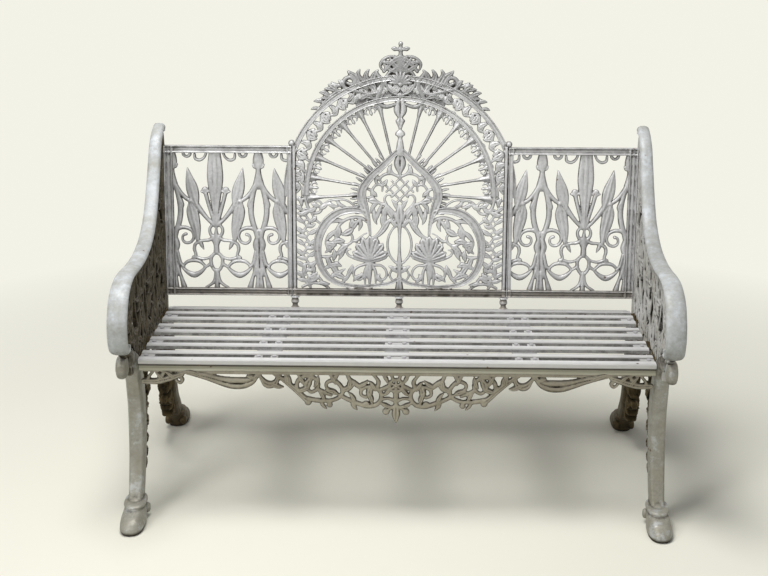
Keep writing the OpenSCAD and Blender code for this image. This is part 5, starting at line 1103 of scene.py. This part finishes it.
# Section of a leg, as [share of the half width, share of the half depth]
LEG_SECTION = [
    [-0.66, -0.98], [0, -1], [0.66, -0.98], [0.80, -0.86], [0.97, -0.5], [1, 0], [1, 0.5], [0.8, 0.9], [0.45, 1],
    [-0.45, 1], [-0.8, 0.9], [-1, 0.5], [-1, 0], [-0.97, -0.5], [-0.80, -0.86],
]
# Hoof slices as [z, toe y, heel y, half width], with a coronet rim round the top
HOOF = [
    [72, -36, -14, 9], [62, -50, -8, 15], [55, -64, -6, 18.5], [52.5, -80, -2, 26], [50, -86, -1, 27.6],
    [46.5, -89, -1, 27.6], [43.5, -88, -5, 24.8], [40, -98, -9, 24.6], [33, -117, -16, 26.6], [25, -131, -22, 28.6],
    [16, -140, -27, 29.8], [9, -143, -31, 29.9], [5.6, -143, -33, 29], [4.2, -140, -35, 26.6], [2.6, -142, -34, 28.2],
    [0, -140, -35, 27.5],
]
# The rear hoof is the front one mirrored, drawn backwards from here
REAR_HOOF_Y = 497
# Rounded discs as [outwards, radius]: the thick scroll below the arm, and a dewclaw
NOSE_RINGS = [[-7, 6], [-6.4, 16], [-4.5, 22], [-1, 25.6], [4, 27], [11, 27], [15.5, 25], [18, 20], [18.8, 10]]
DEWCLAW_RINGS = even([-9, 3], [-8, 8], [-5, 10.5], [0, 11.5])
# Dark places as [y, z, outwards, radius]: painted shade in the corner behind the nose, and chips on the left front leg
PAINTED_SHADE_BEHIND_NOSE = [[-34, 424, 0, 30], [-56, 430, 0, 22]]
LEFT_LEG_CHIPS = [[-11, 205, 18, 3.4], [-9, 190, 10, 2.6], [-7, 191, -3, 2.8]]
# Leaves of the leg brackets
SPRAY = [
    [58, 384, -10, 60, 24], [96, 372, -8, 56, 22], [118, 350, -30, 46, 22], [128, 330, 20, 32, 18],
    [66, 350, -25, 54, 22], [60, 318, -30, 46, 22], [92, 300, -60, 40, 20], [104, 276, 10, 34, 18],
    [58, 286, -50, 44, 20], [54, 252, -40, 36, 18], [70, 232, -70, 36, 18], [46, 214, -60, 36, 18],
    [40, 186, -75, 36, 16], [34, 160, -80, 30, 14], [28, 136, -85, 26, 12], [150, 372, 20, 44, 18],
    [140, 390, 0, 50, 16], [90, 306, -15, 64, 24], [40, 262, -20, 68, 24], [34, 226, -28, 66, 24],
    [28, 196, -38, 66, 22], [22, 166, -45, 62, 20], [18, 140, -55, 52, 18],
]
REAR_SPRAY = [
    [424, 384, 190, 60, 24], [380, 370, 190, 56, 22], [330, 358, 200, 46, 22], [300, 340, 170, 36, 18],
    [418, 340, 205, 54, 24], [380, 312, 235, 46, 22], [420, 300, 215, 44, 22], [414, 262, 200, 36, 20],
    [420, 236, 220, 50, 24], [384, 206, 250, 40, 20], [418, 196, 215, 44, 24], [412, 160, 200, 40, 22],
    [424, 140, 220, 46, 24], [440, 112, 215, 44, 22], [400, 132, 160, 30, 18],
]


def end_frame(node, place):
    """One end casting: its lace, brackets, bars, arm, nose and legs."""
    flip = place is left_side
    lace = Casting()
    lace.tracery(WING_LACE, 10.5, 0, (8.2, 7.2), share=1.35, both=True)
    lace.leaves(WING_LEAVES, 0, 9, both=True, full=18)
    # a row of small leaves along the seat rail
    for y in range(-8, 401, 34):
        lace.stroke([[y, 394, 10], [y + 12, 408, 15], [y + 30, 426, 6]], 0, 9, VEIN, both=True, full=14)
        lace.stroke([[y + 16, 396, 8], [y + 10, 412, 12], [y - 6, 432, 5]], 0, 8, VEIN, both=True, full=14)
    for x, y, r in WING_ROSETTES:
        lace.leaves([[x, y, a, r, 0.62 * r] for a in range(0, 360, 60)], 0, 9, both=True, full=18)
        lace.dome(x, y, 0.36 * r, 0, 10.5, both=True)
    cast(f"{node}_lace", lace, lambda p: place(under_arm(p)), [node], WING, outline=(0.4, 2.6, True), flip=flip)

    brackets = Casting()
    brackets.strokes([broad(p, 1.45) for p in FRONT_BRACKET + REAR_BRACKET], 0, 9, both=True)
    brackets.leaves(SPRAY + REAR_SPRAY, 0, 18, both=True, full=18)
    cast(f"{node}_brackets", brackets, place, [node], BRACKET, outline=(1.0, 5.0, True), flip=flip)

    bars = Casting()
    s, c = math.sin(BACK_LEAN), math.cos(BACK_LEAN)
    back = [
        [BACK_ORIGIN[0] + SIDE_ORIGIN + up * s, BACK_ORIGIN[1] + up * c, 26] for up in (-BACK_LIFT - 12, PANEL_H + 8)
    ]
    seat = [[y + SIDE_ORIGIN, z, 24] for y, z in (seat_point(v, -28) for v in (-8, SEAT_DEPTH + 40))]
    bars.strokes([back, seat], 0, 6, FLAT, n=2, tips=False, both=True)
    cast(f"{node}_bars", bars, place, [node], WING, flip=flip)

    arm = Casting()
    reach = np.clip((ARM[:, 0] - ARM_FROM) / (ARM_TO - ARM_FROM), 0, 1)
    half = (ARM_FRONT_W + (ARM_TOP_W - ARM_FRONT_W) * reach) / 2
    # the band thins towards the ends of its curls
    curl = np.minimum(np.arange(len(ARM)), np.arange(len(ARM))[::-1])
    depth = np.clip(0.45 + curl / 22, 0.45, 1)
    section = ARM_SECTION + [[-u, t] for u, t in ARM_SECTION[-2:0:-1]]
    arm.rings([
        [[*(q[:2] + o * (t if t > 0 else t * k)), h * u] for u, t in section]
        for q, o, h, k in zip(ARM, ARM_OUT, half, depth)
    ])
    cast(f"{node}_arm", arm, place, [node], ARM_PAINT, soften=4, flip=flip)

    nose = Casting()
    nose.knob(-82, 411, 0, NOSE_RINGS, 1.06, 36)
    cast(f"{node}_nose", nose, place, [node], LEG, flip=flip)

    legs = Casting()
    limb(legs, FRONT_LEG[1:] + [[-43, 42, 38]], [40, 90, 200, 330, 400, 430], [18, 19, 20.5, 20, 18.5, 15])
    limb(legs, [[447, 376, 38]] + REAR_LEG[1:], [40, 90, 200, 400], [19, 22, 23, 20])
    hoof(legs)
    hoof(legs, -1, REAR_HOOF_Y)
    # dewclaws, a pair of knobs at the heel of each hoof
    for y in (-29, 526):
        for x in (-23, 20):
            legs.knob(y, 24, x, DEWCLAW_RINGS, 1.15, 24)
    # painted shade behind the nose, and real chips on the left front leg
    chips = PAINTED_SHADE_BEHIND_NOSE + (LEFT_LEG_CHIPS if flip else [])
    cast(f"{node}_legs", legs, place, [node], LEG, soften=2, flip=flip, chips=chips)


end_frame("end_frame_right", right_side)
end_frame("end_frame_left", left_side)


# Bars and fasteners
def ease(names, material, width=0.0008):
    """Paints solids that are shown as they are, with eased edges."""
    for n in names:
        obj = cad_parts[n]
        obj.data.materials.clear()
        obj.data.materials.append(material)
        bevel = obj.modifiers.new("ease", "BEVEL")
        bevel.width, bevel.segments = width, 2
        bevel.limit_method, bevel.angle_limit = "ANGLE", math.radians(40)


ease(["seat_slats_second", "seat_slats_third", "seat_slats_fourth", "seat_slat_rear"], SLAT, 0.0014)
ease(["seat_slats_front"], NOSE, 0.0014)
ease(["seat_bearer_left", "seat_bearer_middle", "seat_bearer_right", "rear_rail"], BAR)
ease(["front_rail"], RAIL)
ease(["back_feet"], CASTING)
ease(["seat_bolts", "seat_nuts", "rail_bolts", "panel_bolts", "stile_bolts", "foot_bolts", "apron_screws",
      "bearer_bolts", "bearer_nuts"], FASTENER, 0.0003)

# Stage, light and camera
PALE = tone(0.90, 0.89, 0.80)


def seen_rays(tree):
    """One for the rays that see the backdrop: from the camera, or by way of gloss or glass."""
    path = tree.nodes.new("ShaderNodeLightPath")
    last = path.outputs["Is Camera Ray"]
    for name in ("Is Glossy Ray", "Is Transmission Ray"):
        either = tree.nodes.new("ShaderNodeMath")
        either.operation = "MAXIMUM"
        tree.links.new(last, either.inputs[0])
        tree.links.new(path.outputs[name], either.inputs[1])
        last = either.outputs[0]
    return last


def floor_material():
    """Pale studio floor: it keeps the shadow near the settee, and the camera sees it as plain backdrop further off."""
    m = Shade("pale_floor")
    m.put(m.shader.inputs["Base Color"], m.mix(m.noise(1.6), tone(0.80, 0.79, 0.68), tone(0.83, 0.82, 0.72)))
    m.shader.inputs["Roughness"].default_value = 0.75
    span = m.nodes.new("ShaderNodeVectorMath")
    span.operation = "LENGTH"
    m.links.new(m.at, span.inputs[0])
    plain = m.nodes.new("ShaderNodeEmission")
    plain.inputs["Color"].default_value = PALE
    seen = seen_rays(m.material.node_tree)
    join = m.nodes.new("ShaderNodeMixShader")
    m.put(join.inputs[0], m.times(m.ramp(span.outputs["Value"], 0.75, 2.3), seen))
    m.links.new(m.shader.outputs[0], join.inputs[1])
    m.links.new(plain.outputs[0], join.inputs[2])
    m.links.new(join.outputs[0], m.nodes["Material Output"].inputs["Surface"])
    return m.material


# Half the width of the floor, and how far below the hooves it lies, in metres
half, drop = 30.0, 0.0006
floor_mesh = bpy.data.meshes.new("floor")
floor_mesh.from_pydata([(-half, -half, 0), (half, -half, 0), (half, half, 0), (-half, half, 0)], [], [(0, 1, 2, 3)])
floor = bpy.data.objects.new("floor", floor_mesh)
floor.location.z = -drop
floor_mesh.materials.append(floor_material())
bpy.context.scene.collection.objects.link(floor)

world = bpy.data.worlds.new("studio")
bpy.context.scene.world = world
world.use_nodes = True
wn, wl = world.node_tree.nodes, world.node_tree.links
background = wn["Background"]
backdrop = wn.new("ShaderNodeMix")
backdrop.data_type = "RGBA"
wl.new(seen_rays(world.node_tree), backdrop.inputs[0])
backdrop.inputs[6].default_value = tone(0.20, 0.20, 0.21)
backdrop.inputs[7].default_value = PALE
wl.new(backdrop.outputs[2], background.inputs["Color"])
background.inputs["Strength"].default_value = 1.0


def lamp(name, at, target, size, power, tint=(1.0, 1.0, 1.0)):
    """A soft lamp of a size, turned to its target."""
    light = bpy.data.lights.new(name, "AREA")
    light.shape, light.size, light.size_y = "RECTANGLE", size[0], size[1]
    light.energy, light.color = power, tint
    obj = bpy.data.objects.new(name, light)
    obj.location = at
    obj.rotation_euler = (Vector(target) - Vector(at)).to_track_quat("-Z", "Y").to_euler()
    bpy.context.scene.collection.objects.link(obj)


lamp("top", (-0.5, -0.5, 3.5), (0.0, 0.0, 0.4), (1.5, 1.1), 95.0, (1.0, 0.99, 0.97))
lamp("key", (-2.3, -2.6, 2.5), (0.0, 0.0, 0.6), (1.2, 1.2), 46.0)
lamp("fill", (2.8, -2.6, 1.6), (0.0, 0.0, 0.5), (1.8, 1.8), 8.0)

# The photograph's own view, solved from the bench's rails
camera = bpy.data.cameras.new("camera")
camera.sensor_width, camera.lens = 36.0, 64.92
camera_object = bpy.data.objects.new("camera", camera)
camera_object.location = (0.0476, -3.3594, 1.5569)
turn = Matrix.Rotation(math.radians(1.42), 4, "Z")
tilt = Matrix.Rotation(math.radians(90.0 - 17.31), 4, "X")
roll = Matrix.Rotation(math.radians(0.09), 4, "Z")
camera_object.rotation_euler = (turn @ tilt @ roll).to_euler()
bpy.context.scene.collection.objects.link(camera_object)
bpy.context.scene.camera = camera_object

bpy.context.scene.view_settings.view_transform = "Standard"
